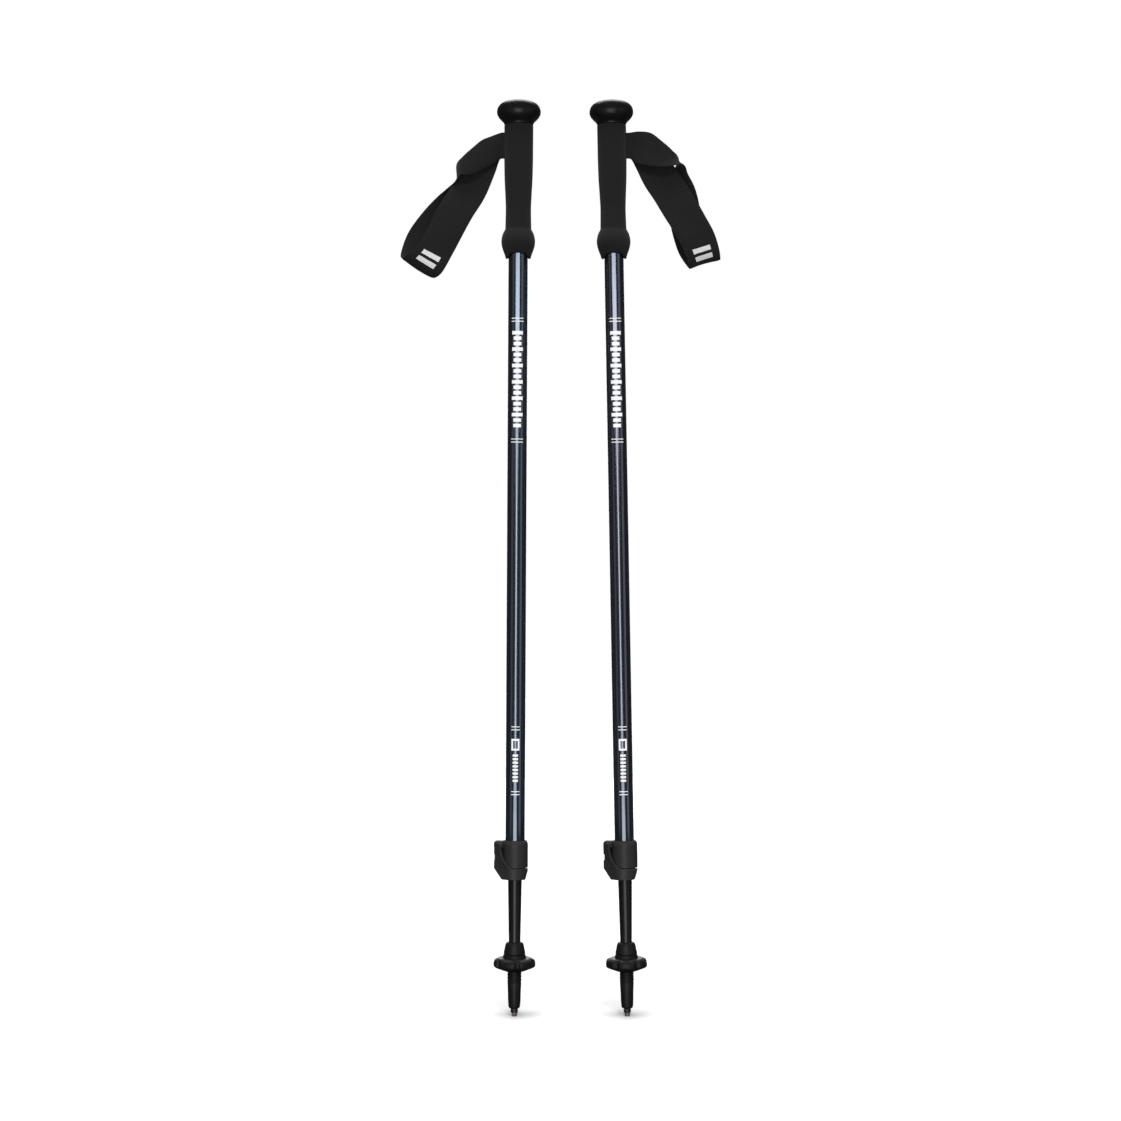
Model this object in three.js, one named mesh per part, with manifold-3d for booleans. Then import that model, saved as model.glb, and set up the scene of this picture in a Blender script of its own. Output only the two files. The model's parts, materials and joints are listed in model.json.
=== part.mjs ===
// A pair of telescoping trekking poles that stand side by side on their tips.
// Millimetres, +Z up. Each pole is built in its own frame, with its axis on Z and the bottom of its
// tip at the origin, and is then leaned a little and moved to its place.

import * as THREE from 'three';
import { mergeVertices } from 'three/addons/utils/BufferGeometryUtils.js';
import Module from 'manifold-3d';

const wasm = await Module();
wasm.setup();

// ---- driving dimensions ----

const gap = 0.3;                 // clearance between pieces that touch
const fine = 24;                 // facets round a large turned piece
const coarse = 14;               // facets round a small one
const finest = 30;               // facets round the widest pieces

const upperRadius = 10.0;        // upper tube, outside
const upperBore = 8.7;
const lowerRadius = 7.1;         // lower tube, outside
const lowerWall = 1.1;
const taperRadius = 6.0;         // lower tube where it enters the tip
const taperTop = 137;

const carbideRadius = 2.6;
const holderRadius = 3.7;
const holderBottom = 3.6;
const tipBottom = 8.2;
const threadBottom = 34.5;
const threadRidges = 4;          // the thread below the basket; under it the stem is plain
const threadPitch = 3.2;
const threadCrest = 7.5;
const threadRoot = 7.0;
const shoulderZ = 63.2;          // top of the tip's body, where the lower tube stops

const basketRadius = 21.6;
const basketBottom = 46.3;
const basketLobes = 6;

const neckBottom = 141.5;        // clamp collar, from its neck to its top
const collarBottom = 153.3;
const collarTop = 181;
const collarRadius = 13.3;
const neckRadius = 10.9;
const hingeReach = 17.6;         // pole axis to the lever's pin
const knuckleRadius = 4.0;
const screwZ = 163.7;

const lowerTubeTop = 712;
const upperTubeBottom = 155.9;
const upperTubeTop = 867.4;

const foamTop = 917.4;
const foamBottom = 777;
const archHeight = 8;            // the foam's lower rim is cut higher at its front and back
const coreRadius = 11.3;
const knobTop = 942.5;

const slotBottom = 882.2;        // the slot in the grip that the webbing comes out of
const slotTop = 909.8;
const slotHalfWidth = 3.7;
const webbingThickness = 1.9;
const webbingInGrip = 26;        // the webbing's height where it is squeezed into the slot
const strapPinReach = 3;
const strapHingeReach = 18;      // the strap swings about this line, just outside the foam
const strapNoseRadius = 3.4;

// ---- solids ----

function closedMesh(geometry) {
  const bare = geometry.clone();
  bare.deleteAttribute('normal');
  bare.deleteAttribute('uv');
  const merged = mergeVertices(bare, 1e-4);
  const kept = [];
  const index = merged.index.array;
  for (let i = 0; i < index.length; i += 3) {
    const [a, b, c] = [index[i], index[i + 1], index[i + 2]];
    if (a !== b && b !== c && a !== c) kept.push(a, b, c);
  }
  merged.setIndex(kept);
  return merged;
}

function toSolid(geometry) {
  const mesh = closedMesh(geometry);
  const solid = new wasm.Manifold(new wasm.Mesh({
    numProp: 3,
    vertProperties: Float32Array.from(mesh.attributes.position.array),
    triVerts: Uint32Array.from(mesh.index.array),
  }));
  return solid;
}

function toGeometry(solid) {
  const mesh = solid.getMesh();
  const geometry = new THREE.BufferGeometry();
  geometry.setAttribute('position', new THREE.BufferAttribute(Float32Array.from(mesh.vertProperties), 3));
  geometry.setIndex(new THREE.BufferAttribute(Uint32Array.from(mesh.triVerts), 1));
  return geometry;
}

// Turns a profile of [radius, height] pairs about Z. The profile runs up the outside.
function turned(profile, facets = fine) {
  const points = profile.map(([r, z]) => new THREE.Vector2(r, z));
  return new THREE.LatheGeometry(points, facets).rotateX(Math.PI / 2);
}

function turnedRing(profile, facets = fine) {
  return turned([...profile, profile[0]], facets);
}

function rod(radius, bottom, top, facets = coarse) {
  const height = top - bottom;
  return new THREE.CylinderGeometry(radius, radius, height, facets)
    .rotateX(Math.PI / 2)
    .translate(0, 0, bottom + height / 2);
}

function block([x0, x1], [y0, y1], [z0, z1]) {
  return new THREE.BoxGeometry(x1 - x0, y1 - y0, z1 - z0)
    .translate((x0 + x1) / 2, (y0 + y1) / 2, (z0 + z1) / 2);
}

// A flat outline in plan, raised from bottom to top.
function raised(shape, bottom, top, curveSegments = 8) {
  const depth = top - bottom;
  return new THREE.ExtrudeGeometry(shape, { depth, bevelEnabled: false, curveSegments })
    .translate(0, 0, bottom);
}

// An outline drawn in front view (x, z), run straight through from front to back.
function runThrough(shape, front, back) {
  const depth = back - front;
  return new THREE.ExtrudeGeometry(shape, { depth, bevelEnabled: false })
    .rotateX(Math.PI / 2)
    .translate(0, back, 0);
}

function shapeOf(corners) {
  return new THREE.Shape(corners.map(([x, y]) => new THREE.Vector2(x, y)));
}

function joined(first, ...others) {
  return toGeometry(others.reduce((solid, other) => solid.add(toSolid(other)), toSolid(first)));
}

function cut(first, ...others) {
  return toGeometry(others.reduce((solid, other) => solid.subtract(toSolid(other)), toSolid(first)));
}

function shared(first, ...others) {
  return toGeometry(others.reduce((solid, other) => solid.intersect(toSolid(other)), toSolid(first)));
}

// ---- finishes ----

const finishes = {
  anodised: { color: 0x151c28, roughness: 0.22, metalness: 0.8 },
  blackTube: { color: 0x141414, roughness: 0.35, metalness: 0.6 },
  foam: { color: 0x1e1e1f, roughness: 0.95, metalness: 0 },
  knobPlastic: { color: 0x101011, roughness: 0.3, metalness: 0 },
  plastic: { color: 0x1b1a1a, roughness: 0.6, metalness: 0 },
  webbing: { color: 0x202022, roughness: 0.9, metalness: 0 },
  steel: { color: 0x9a9a98, roughness: 0.35, metalness: 1 },
  holderSteel: { color: 0x4a403c, roughness: 0.4, metalness: 0.9 },
  carbide: { color: 0xb0b0ae, roughness: 0.45, metalness: 0.9 },
};

function piece(name, geometry, finish) {
  const mesh = new THREE.Mesh(closedMesh(geometry), new THREE.MeshStandardMaterial(finishes[finish]));
  mesh.name = name;
  return mesh;
}

// ---- tip ----

const flutes = 8;

function carbideTip() {
  const outline = new THREE.Shape();
  const pointsPerFlute = 4;
  const count = flutes * pointsPerFlute;
  for (let i = 0; i < count; i += 1) {
    const angle = (i / count) * 2 * Math.PI;
    const radius = carbideRadius - 0.25 * (1 - Math.cos(flutes * angle));
    const [x, y] = [radius * Math.cos(angle), radius * Math.sin(angle)];
    if (i === 0) outline.moveTo(x, y);
    else outline.lineTo(x, y);
  }
  return raised(outline, 0, tipBottom - gap);
}

function tipHolder() {
  const bore = carbideRadius + gap;
  const flangeTop = tipBottom - gap;
  const stem = 3.0;
  const stemTop = 19.7;
  return turned([
    [0, flangeTop + gap], [bore, flangeTop + gap], [bore, holderBottom],
    [holderRadius - 0.3, holderBottom], [holderRadius, holderBottom + 0.3],
    [holderRadius, flangeTop], [stem, flangeTop], [stem, stemTop], [0, stemTop],
  ], coarse);
}

function tipBody() {
  const stemBore = 3.3;
  const stemBoreTop = 20;
  const spigot = taperRadius - lowerWall - gap;
  const spigotTop = 85;
  const profile = [
    [0, stemBoreTop], [stemBore, stemBoreTop], [stemBore, tipBottom],
    [5.2, tipBottom], [5.9, 9.2], [6.5, 16], [6.75, 26], [7.2, threadBottom],
  ];
  for (let i = 0; i < threadRidges; i += 1) {
    const z = threadBottom + i * threadPitch;
    profile.push([threadRoot, z + 0.6], [threadCrest, z + 1.3], [threadCrest, z + 2.0]);
  }
  profile.push([threadRoot, shoulderZ], [spigot, shoulderZ], [spigot, spigotTop], [0, spigotTop]);
  return turned(profile, 20);
}

function tipCollar() {
  const bore = taperRadius + gap;
  return turnedRing([
    [bore, 63.5], [10.6, 63.5], [11.1, 64.2], [11.1, 66], [9.9, 71.6], [8.7, 75.3], [8, 76], [bore, 76],
  ]);
}

// A thick disc on a threaded hub, its rim notched into lobes.
function basket(turn) {
  const bore = threadCrest + 0.4;
  const hubRadius = 11.7;
  const hubTop = shoulderZ;
  const disc = turnedRing([
    [bore, basketBottom], [9.6, basketBottom], [20.6, 50.2], [basketRadius, 51.6], [basketRadius, 56.6],
    [20.6, 58.6], [16.5, 60], [hubRadius, 59.6], [hubRadius, hubTop - 0.6], [11.1, hubTop], [bore, hubTop],
  ], finest);
  const notchReach = basketRadius + 0.4;
  const notches = [];
  for (let i = 0; i < basketLobes; i += 1) {
    const angle = THREE.MathUtils.degToRad(turn + (i * 360) / basketLobes);
    const notch = rod(3.1, basketBottom - 1, hubTop + 1, 10);
    notches.push(notch.translate(notchReach * Math.cos(angle), notchReach * Math.sin(angle), 0));
  }
  return cut(disc, ...notches);
}

// ---- tubes ----

function lowerShaft() {
  const bottom = shoulderZ + gap;
  const collarTopZ = 76.7;
  return turnedRing([
    [taperRadius - lowerWall, bottom], [taperRadius, bottom], [taperRadius, collarTopZ],
    [lowerRadius, taperTop], [lowerRadius, lowerTubeTop], [lowerRadius - lowerWall, lowerTubeTop],
    [lowerRadius - lowerWall, taperTop], [taperRadius - lowerWall, collarTopZ],
  ]);
}

function shaftGuide() {
  const stem = lowerRadius - lowerWall - gap;
  const head = upperBore - gap;
  return turned([
    [0, 690], [stem, 690], [stem, lowerTubeTop + gap], [head, lowerTubeTop + gap],
    [head, 724], [head - 0.8, 726], [0, 726],
  ]);
}

// The tube's lower end is slit so that the clamp can squeeze it.
function upperShaft() {
  const tube = turnedRing([
    [upperBore, upperTubeBottom], [upperRadius, upperTubeBottom],
    [upperRadius, upperTubeTop], [upperBore, upperTubeTop],
  ]);
  const slit = block([-12, 0], [7.2, 8.8], [upperTubeBottom - 1, upperTubeBottom + 24]);
  return cut(tube, slit);
}

function shaftBushing() {
  const bore = lowerRadius + 0.25;
  const seat = upperTubeBottom - 0.5;
  const sleeve = turnedRing([
    [bore, neckBottom + gap], [8.9, neckBottom + gap], [8.9, seat], [upperBore - gap, seat],
    [upperBore - gap, 182], [bore, 182],
  ]);
  const slit = block([-12, 0], [-0.8, 0.8], [neckBottom, 183]);
  return cut(sleeve, slit);
}

// ---- clamp, with its lever's pin on the -X side ----

const pinRadius = 1.5;
const pinBore = 1.8;
const earBottom = 173.8;         // the upper ear
const lowerEarTop = 153.6;

function atPin(geometry) {
  return geometry.translate(-hingeReach, 0, 0);
}

// Straight rod along Y at the screw's height, beside the pole.
function alongScrew(radius, front, back, facets = coarse) {
  const length = back - front;
  return new THREE.CylinderGeometry(radius, radius, length, facets)
    .translate(-hingeReach, (front + back) / 2, screwZ);
}

function clampCollar() {
  const seat = upperTubeBottom - 0.5;
  const innerNeck = 9.2;
  const body = turnedRing([
    [innerNeck, neckBottom], [neckRadius, neckBottom], [neckRadius, collarBottom],
    [collarRadius - 0.3, collarBottom], [collarRadius, collarBottom + 0.4],
    [collarRadius, collarTop - 4.2], [collarRadius - 0.4, collarTop - 2.2], [collarRadius - 1.1, collarTop - 0.8],
    [collarRadius - 1.8, collarTop],
    [upperRadius + gap, collarTop], [upperRadius + gap, seat], [innerNeck, seat],
  ], finest);
  const earRadius = 4.3;
  const earTop = collarTop - 0.5;
  const earSide = -hingeReach - earRadius;
  const earRound = 3.4;
  const earOutline = new THREE.Shape();
  earOutline.moveTo(-10.5, earBottom);
  earOutline.lineTo(-10.5, earTop);
  earOutline.lineTo(earSide + earRound, earTop);
  earOutline.absarc(earSide + earRound, earTop - earRound, earRound, Math.PI / 2, Math.PI, false);
  earOutline.lineTo(earSide, earBottom);
  const earPlan = joined(
    atPin(rod(earRadius, earBottom, earTop)),
    block([-hingeReach, -10.5], [-earRadius, earRadius], [earBottom, earTop]),
  );
  const upperEar = shared(runThrough(earOutline, -6, 6), earPlan);
  const lowerEar = shapeOf([
    [-10.2, neckBottom + 0.4], [-13.4, neckBottom + 0.4], [-21.2, lowerEarTop - 1.6],
    [-21.2, lowerEarTop], [-10.2, lowerEarTop],
  ]);
  const lowerEarPlan = joined(
    atPin(rod(3.4, neckBottom, lowerEarTop)),
    block([-hingeReach, -10.2], [-3, 3], [neckBottom, lowerEarTop]),
  );
  const lowerEarSolid = shared(runThrough(lowerEar, -5, 5), lowerEarPlan);
  const lugs = block([-21.6, -7], [5.5, 11.6], [157, 173.2]);
  return cut(
    joined(body, upperEar, lowerEarSolid, lugs),
    rod(upperRadius + gap, seat, collarTop + 1, finest),
    rod(innerNeck, neckBottom - 1, seat + 1, finest),
    block([-24, -4], [7.2, 8.8], [neckBottom - 1, collarTop + 1]),
    atPin(rod(pinBore, neckBottom - 1, collarTop + 1)),
    alongScrew(2.0, 4, 13),
  );
}

// The lever's outside in plan: an arc round the collar, and then the straight line that touches it.
const leverCentre = -0.9;
const leverRadius = 14.7;
const leverTangent = THREE.MathUtils.degToRad(112);
const leverSide = [-hingeReach - knuckleRadius, -3.2];

function leverFrontY(x) {
  const touchX = leverCentre + leverRadius * Math.cos(leverTangent);
  const touchY = -leverRadius * Math.sin(leverTangent);
  if (x < touchX) return touchY + (touchX - x) * Math.tan(leverTangent - Math.PI / 2);
  return -Math.sqrt(leverRadius ** 2 - (x - leverCentre) ** 2);
}

// Everything outside the facet that falls from the lever's raised front edge to its side.
// The front edge is a list of [x, height].
function outsideFacet(edge) {
  const far = -27;
  const slices = edge.map(([x, z]) => {
    const y = leverFrontY(x);
    const slope = (leverSide[1] - y) / (leverSide[0] - x);
    return [[x, y], [x, far], [far, far], [far, y + slope * (far - x)]]
      .map(([px, py]) => [px, py, z]);
  });
  return slices.slice(1).map((slice, i) => toGeometry(wasm.Manifold.hull([...slices[i], ...slice])));
}

// A cam lever. Its narrow band wraps the collar's neck, and its tall end rises to the pin.
function clampLever() {
  const bottom = neckBottom - 0.1;
  const top = 178.4;
  const plan = new THREE.Shape();
  const endAngle = THREE.MathUtils.degToRad(-4);
  plan.moveTo(0, -0.8);
  plan.lineTo(leverCentre + leverRadius * Math.cos(endAngle), leverRadius * Math.sin(endAngle));
  plan.absarc(leverCentre, 0, leverRadius, endAngle, -leverTangent, true);
  plan.lineTo(-18, leverFrontY(-18));
  plan.lineTo(...leverSide);
  plan.lineTo(leverSide[0], -0.8);
  const swoop = shapeOf([
    [-24, lowerEarTop], [-21.4, lowerEarTop - 1.4], [-13.6, bottom], [10.8, bottom], [13.4, 150.6],
    [13.4, 152.6], [-2.5, 152.6], [-5.2, 153.7], [-7.5, 156.2], [-9.6, 159.2], [-11.9, 163],
    [-12.9, 167], [-13.9, 172], [-14.3, top], [-24, top],
  ]);
  const facet = outsideFacet([
    [-6.2, bottom - 1], [-6.2, 151], [-9.4, 156.2], [-11.5, 159.2], [-13.8, 163], [-14.8, 167],
    [-15.8, 172], [-16.6, top + 1],
  ]);
  const whole = shared(raised(plan, bottom, top, 12), runThrough(swoop, -30, 10));
  const arm = cut(whole, ...facet);
  const knuckle = atPin(rod(knuckleRadius, lowerEarTop + gap, earBottom - gap));
  const lowClear = lowerEarTop + gap;
  const [slotLow, slotHigh] = [screwZ - 3.2, screwZ + 3.2];
  const screwSweep = shapeOf([
    [-hingeReach, 0], [-22.1, -6.6], [-26, -6.6], [-26, 6], [-10, 6], [-10, 0],
  ]);
  return cut(
    joined(arm, knuckle),
    rod(collarRadius + 0.5, collarBottom - 0.4, top + 1, finest),
    rod(neckRadius + 0.5, bottom - 1, collarBottom, finest),
    atPin(rod(4.7, earBottom - gap, top + 1)),
    block([-hingeReach, -10], [-4.8, 1], [earBottom - gap, top + 1]),
    atPin(rod(3.8, bottom - 1, lowClear)),
    block([-hingeReach, -8], [-3.4, 1], [bottom - 1, lowClear]),
    atPin(rod(knuckleRadius, slotLow, slotHigh)),
    raised(screwSweep, slotLow, slotHigh),
    atPin(rod(pinBore, bottom - 1, top + 1)),
  );
}

function leverPin() {
  return atPin(rod(pinRadius, 148.4, collarTop - 0.8));
}

// Eye round the lever's pin, and a threaded shank through the collar's lugs.
function clampScrew() {
  const eye = atPin(rod(3.4, screwZ - 2.6, screwZ + 2.6));
  const shank = alongScrew(1.6, 2.4, 16.4, 16);
  return cut(joined(eye, shank), atPin(rod(pinBore, screwZ - 4, screwZ + 4)));
}

function clampNut() {
  const knurls = 12;
  const outline = new THREE.Shape();
  for (let i = 0; i < 2 * knurls; i += 1) {
    const angle = (i / (2 * knurls)) * 2 * Math.PI;
    const radius = i % 2 ? 3.7 : 4.1;
    const [x, y] = [radius * Math.cos(angle), radius * Math.sin(angle)];
    if (i === 0) outline.moveTo(x, y);
    else outline.lineTo(x, y);
  }
  const hole = new THREE.Path();
  hole.absarc(0, 0, 1.9, 0, 2 * Math.PI, true);
  outline.holes.push(hole);
  return raised(outline, 0, 3.4, 8)
    .rotateX(-Math.PI / 2)
    .translate(-hingeReach, 11.9, screwZ);
}

// ---- grip ----

function gripSlot(outward) {
  const innerEnd = strapPinReach - strapNoseRadius - gap;
  const reach = [outward * innerEnd, outward * 20].sort((a, b) => a - b);
  return block(reach, [-slotHalfWidth, slotHalfWidth], [slotBottom, slotTop]);
}

// Hard head on top of the upper tube, with a plug inside the tube and a spigot for the knob.
function gripCore(outward) {
  const body = turned([
    [0, 838], [8, 838], [upperBore - gap, 839], [upperBore - gap, upperTubeTop + gap],
    [coreRadius, upperTubeTop + gap], [coreRadius, foamTop], [6, foamTop], [6, 927], [0, 927],
  ]);
  const pinHole = rod(1.5, slotBottom - 4, slotTop + 4).translate(outward * strapPinReach, 0, 0);
  return cut(body, gripSlot(outward), pinHole);
}

function gripFoam(outward) {
  const innerLow = upperRadius + gap;
  const innerHigh = coreRadius + gap;
  const stepZ = upperTubeTop;
  const sleeve = turnedRing([
    [innerLow, foamBottom], [12.2, foamBottom], [13.2, 781.5], [15.7, 788.5], [17.1, 793.4],
    [17.4, 797.7], [17.0, 801.6], [15.7, 806], [13.6, 809.4], [13.0, 830],
    [14.5, 863], [14.9, 886], [14.9, foamTop], [innerHigh, foamTop],
    [innerHigh, stepZ], [innerLow, stepZ],
  ]);
  const arch = new THREE.Shape();
  const archReach = 12.6;
  const shoulder = 11.5;
  const crown = foamBottom + (4 / 3) * archHeight;
  arch.moveTo(-archReach, foamBottom - 1);
  arch.lineTo(-archReach, foamBottom);
  arch.bezierCurveTo(-shoulder, crown, shoulder, crown, archReach, foamBottom);
  arch.lineTo(archReach, foamBottom - 1);
  return cut(sleeve, runThrough(arch, -20, 20), gripSlot(outward));
}

function knob() {
  const socket = 6 + gap;
  return turned([
    [0, 927 + gap], [socket, 927 + gap], [socket, foamTop + gap], [15.1, foamTop + gap],
    [15.4, 919.2], [17.6, 921.6], [20.6, 924.8], [22.2, 927.8], [22.6, 930.6], [22.3, 933.4],
    [20.9, 936.6], [18.2, 939.2], [13, 941.4], [6.5, knobTop - 0.3], [4, knobTop], [0, knobTop],
  ], finest);
}

function strapPin(outward) {
  return rod(1.2, slotBottom - 3.7, slotTop + 3.7, 16).translate(outward * strapPinReach, 0, 0);
}

function strapBottomZ() {
  return (slotBottom + slotTop) / 2 - webbingInGrip / 2;
}

// The webbing's turn round the pin, inside the slot.
function strapInner(outward) {
  const inner = 1.5;
  const outer = inner + webbingThickness;
  const mouth = strapHingeReach - strapNoseRadius - gap;
  const plan = new THREE.Shape();
  plan.moveTo(mouth, outer);
  plan.lineTo(strapPinReach, outer);
  plan.absarc(strapPinReach, 0, outer, Math.PI / 2, 1.5 * Math.PI, false);
  plan.lineTo(mouth, -outer);
  plan.lineTo(mouth, -inner);
  plan.lineTo(strapPinReach, -inner);
  plan.absarc(strapPinReach, 0, inner, 1.5 * Math.PI, Math.PI / 2, true);
  plan.lineTo(mouth, inner);
  const bottom = strapBottomZ();
  const webbing = raised(plan, bottom, bottom + webbingInGrip, 6);
  return outward > 0 ? webbing : webbing.rotateZ(Math.PI);
}

// A wedge between the webbing's two plies, which jams them in the slot.
function strapWedge(outward) {
  const plan = shapeOf([[5.6, -0.7], [13.2, -1.1], [13.6, -0.7], [13.6, 0.7], [13.2, 1.1], [5.6, 0.7]]);
  const wedge = raised(plan, slotBottom + 1.4, slotTop - 1.4);
  return outward > 0 ? wedge : wedge.rotateZ(Math.PI);
}

// ---- wrist strap ----

// The webbing leaves the slot in front, folds back round itself, runs down behind, turns up at the
// bottom of the loop and comes back to the slot. Each row holds one place along it: the reach from the
// pole, depth and height of the edge that starts on top, then of the edge that starts below.
const strapRows = {
  left: [
    [18.4, -2.45, 909, 18.4, -2.45, 883],
    [28, -5, 905, 24.5, -5, 877.3],
    [38, -9, 900, 34.5, -9, 871.5],
    [47.5, -12, 891.5, 44, -13, 866],
    [57, -10, 883, 53.5, -15, 863.5],
    [63.5, 1, 876, 59, -15, 863.8],
    [60, 14, 862, 64.5, -9, 857.6],
    [59, 15.5, 842, 75, 0, 850.2],
    [61.5, 12.5, 822, 84.5, 6, 843.5],
    [72.6, 11, 808, 98.5, 9, 829],
    [83, 10, 792, 113, 9, 809],
    [87, 7.5, 773, 120.3, 7, 790],
    [88.5, 1, 760.5, 120.4, 1, 780.5],
    [79, -6, 763.4, 112.4, -6, 784],
    [66.6, -8, 784.3, 98.6, -8, 799.2],
    [49.2, -8, 817.3, 82, -8, 832.2],
    [34.6, -4, 842, 66, -4, 857.5],
    [24.6, -1, 866.7, 50, -1, 884],
    [20.5, 1.5, 879.5, 32, 1.5, 902],
    [18.4, 2.45, 883, 18.4, 2.45, 909],
  ],
  right: [
    [18.4, -2.45, 909, 18.4, -2.45, 883],
    [28, -5, 909.5, 24.5, -5, 877.5],
    [40, -9, 907, 33, -9, 874.5],
    [51, -12, 898, 45, -13, 872],
    [61, -10, 889, 57, -15, 871.5],
    [68, 0, 880.5, 72, -11, 873.5],
    [60, 12, 864, 77.5, -3.5, 865],
    [57.5, 13.5, 847, 83.8, -0.5, 853.5],
    [57, 13, 831, 87.4, 3, 842.5],
    [59, 11.5, 817, 90.5, 7.5, 829.5],
    [62.5, 10, 801, 95, 8.5, 811],
    [68, 8, 784, 100, 8, 793],
    [77.5, 1, 768.6, 108.6, 1, 777.5],
    [76, -5.5, 776, 108.4, -5.5, 786],
    [68, -8, 794, 103, -8, 804],
    [59.6, -8, 809, 94, -8, 821.5],
    [51.8, -7, 822, 84, -7, 840],
    [42.8, -5, 838, 74, -5, 857],
    [32.6, -3, 854.5, 63, -4, 874],
    [25.2, 0, 871, 50, 0, 892],
    [21, 1.5, 880, 33, 1.5, 905],
    [18.4, 2.45, 883, 18.4, 2.45, 909],
  ],
};
const strapSteps = 2;            // places cut between two rows

function strapLoop(outward, rows) {
  const edge = (first) => new THREE.CatmullRomCurve3(
    rows.map((row) => new THREE.Vector3(outward * row[first], row[first + 1], row[first + 2])),
  );
  const [starting, other] = [edge(0), edge(3)];
  const count = (rows.length - 1) * strapSteps;
  const positions = [];
  for (let i = 0; i <= count; i += 1) {
    const t = i / count;
    const [a, b] = [starting.getPoint(t), other.getPoint(t)];
    const along = starting.getTangent(t).add(other.getTangent(t));
    const across = new THREE.Vector3().subVectors(b, a);
    const thick = along.cross(across).normalize().multiplyScalar(webbingThickness / 2);
    for (const corner of [a.clone().add(thick), b.clone().add(thick), b.sub(thick), a.sub(thick)]) {
      positions.push(...corner.toArray());
    }
  }
  const index = [];
  for (let i = 0; i < count; i += 1) {
    for (let side = 0; side < 4; side += 1) {
      const [p, q] = [4 * i + side, 4 * i + ((side + 1) % 4)];
      index.push(p, p + 4, q, q, p + 4, q + 4);
    }
  }
  const last = 4 * count;
  index.push(0, 1, 2, 0, 2, 3, last, last + 2, last + 1, last, last + 3, last + 2);
  const ribbon = new THREE.BufferGeometry();
  ribbon.setAttribute('position', new THREE.Float32BufferAttribute(positions, 3));
  ribbon.setIndex(index);
  return ribbon;
}

function strap(outward, rows) {
  const bottom = strapBottomZ();
  const nose = rod(strapNoseRadius, bottom, bottom + webbingInGrip, 16)
    .translate(outward * strapHingeReach, 0, 0);
  return joined(nose, strapLoop(outward, rows));
}

// ---- the pair ----

function clamp(name, turn) {
  const group = new THREE.Group();
  group.rotation.z = THREE.MathUtils.degToRad(turn);
  group.add(
    piece(`${name}_clamp_collar`, clampCollar(), 'plastic'),
    piece(`${name}_clamp_lever`, clampLever(), 'plastic'),
    piece(`${name}_lever_pin`, leverPin(), 'steel'),
    piece(`${name}_clamp_screw`, clampScrew(), 'steel'),
    piece(`${name}_clamp_nut`, clampNut(), 'steel'),
    piece(`${name}_shaft_bushing`, shaftBushing(), 'plastic'),
    piece(`${name}_upper_shaft`, upperShaft(), 'anodised'),
  );
  return group;
}

function pole({ name, tipX, lean, outward, clampTurn, basketTurn }) {
  const group = new THREE.Group();
  const leanAngle = THREE.MathUtils.degToRad(lean);
  group.rotation.y = leanAngle;
  group.position.set(tipX, 0, carbideRadius * Math.sin(Math.abs(leanAngle)));
  group.add(
    piece(`${name}_carbide_tip`, carbideTip(), 'carbide'),
    piece(`${name}_tip_holder`, tipHolder(), 'holderSteel'),
    piece(`${name}_tip_body`, tipBody(), 'plastic'),
    piece(`${name}_tip_collar`, tipCollar(), 'plastic'),
    piece(`${name}_basket`, basket(basketTurn), 'plastic'),
    piece(`${name}_lower_shaft`, lowerShaft(), 'blackTube'),
    piece(`${name}_shaft_guide`, shaftGuide(), 'plastic'),
    clamp(name, clampTurn),
    piece(`${name}_grip_core`, gripCore(outward), 'plastic'),
    piece(`${name}_grip_foam`, gripFoam(outward), 'foam'),
    piece(`${name}_knob`, knob(), 'knobPlastic'),
    piece(`${name}_strap_pin`, strapPin(outward), 'steel'),
    piece(`${name}_strap_inner`, strapInner(outward), 'webbing'),
    piece(`${name}_strap_wedge`, strapWedge(outward), 'plastic'),
    piece(`${name}_strap`, strap(outward, strapRows[name]), 'webbing'),
  );
  return group;
}

const poles = new THREE.Group();
poles.add(
  pole({ name: 'left', tipX: -47.7, lean: 0.3, outward: -1, clampTurn: 0, basketTurn: 39.5 }),
  pole({ name: 'right', tipX: 68.9, lean: -1.02, outward: 1, clampTurn: -9, basketTurn: 0 }),
);

export default poles;
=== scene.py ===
"""A pair of trekking poles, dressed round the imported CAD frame."""

import json
import math

import bmesh
import bpy
import numpy as np
from mathutils import Matrix, Vector

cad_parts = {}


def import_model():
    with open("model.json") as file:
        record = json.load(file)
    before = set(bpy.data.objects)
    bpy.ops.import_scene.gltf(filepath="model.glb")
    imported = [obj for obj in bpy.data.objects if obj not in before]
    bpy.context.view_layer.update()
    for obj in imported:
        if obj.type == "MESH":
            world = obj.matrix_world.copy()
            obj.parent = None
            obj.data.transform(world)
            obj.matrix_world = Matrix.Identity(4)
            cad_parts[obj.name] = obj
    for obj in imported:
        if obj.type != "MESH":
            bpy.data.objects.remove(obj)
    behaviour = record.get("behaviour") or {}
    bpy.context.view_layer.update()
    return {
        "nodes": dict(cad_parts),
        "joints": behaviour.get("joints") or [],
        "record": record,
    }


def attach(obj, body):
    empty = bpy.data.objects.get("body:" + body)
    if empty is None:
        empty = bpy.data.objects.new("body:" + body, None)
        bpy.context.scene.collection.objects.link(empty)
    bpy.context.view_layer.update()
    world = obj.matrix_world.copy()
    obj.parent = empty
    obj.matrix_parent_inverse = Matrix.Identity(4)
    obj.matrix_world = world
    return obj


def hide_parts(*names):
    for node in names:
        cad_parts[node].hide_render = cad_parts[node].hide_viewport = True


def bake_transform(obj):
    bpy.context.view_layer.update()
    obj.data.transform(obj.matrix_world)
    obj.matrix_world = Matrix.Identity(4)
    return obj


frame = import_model()

MM = 0.001
NODES = frame["nodes"]
RECORD = frame["record"]
SIDES = {"left": -1, "right": 1}          # which way each pole's strap leaves its grip


# ---------- where each pole stands ----------

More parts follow.
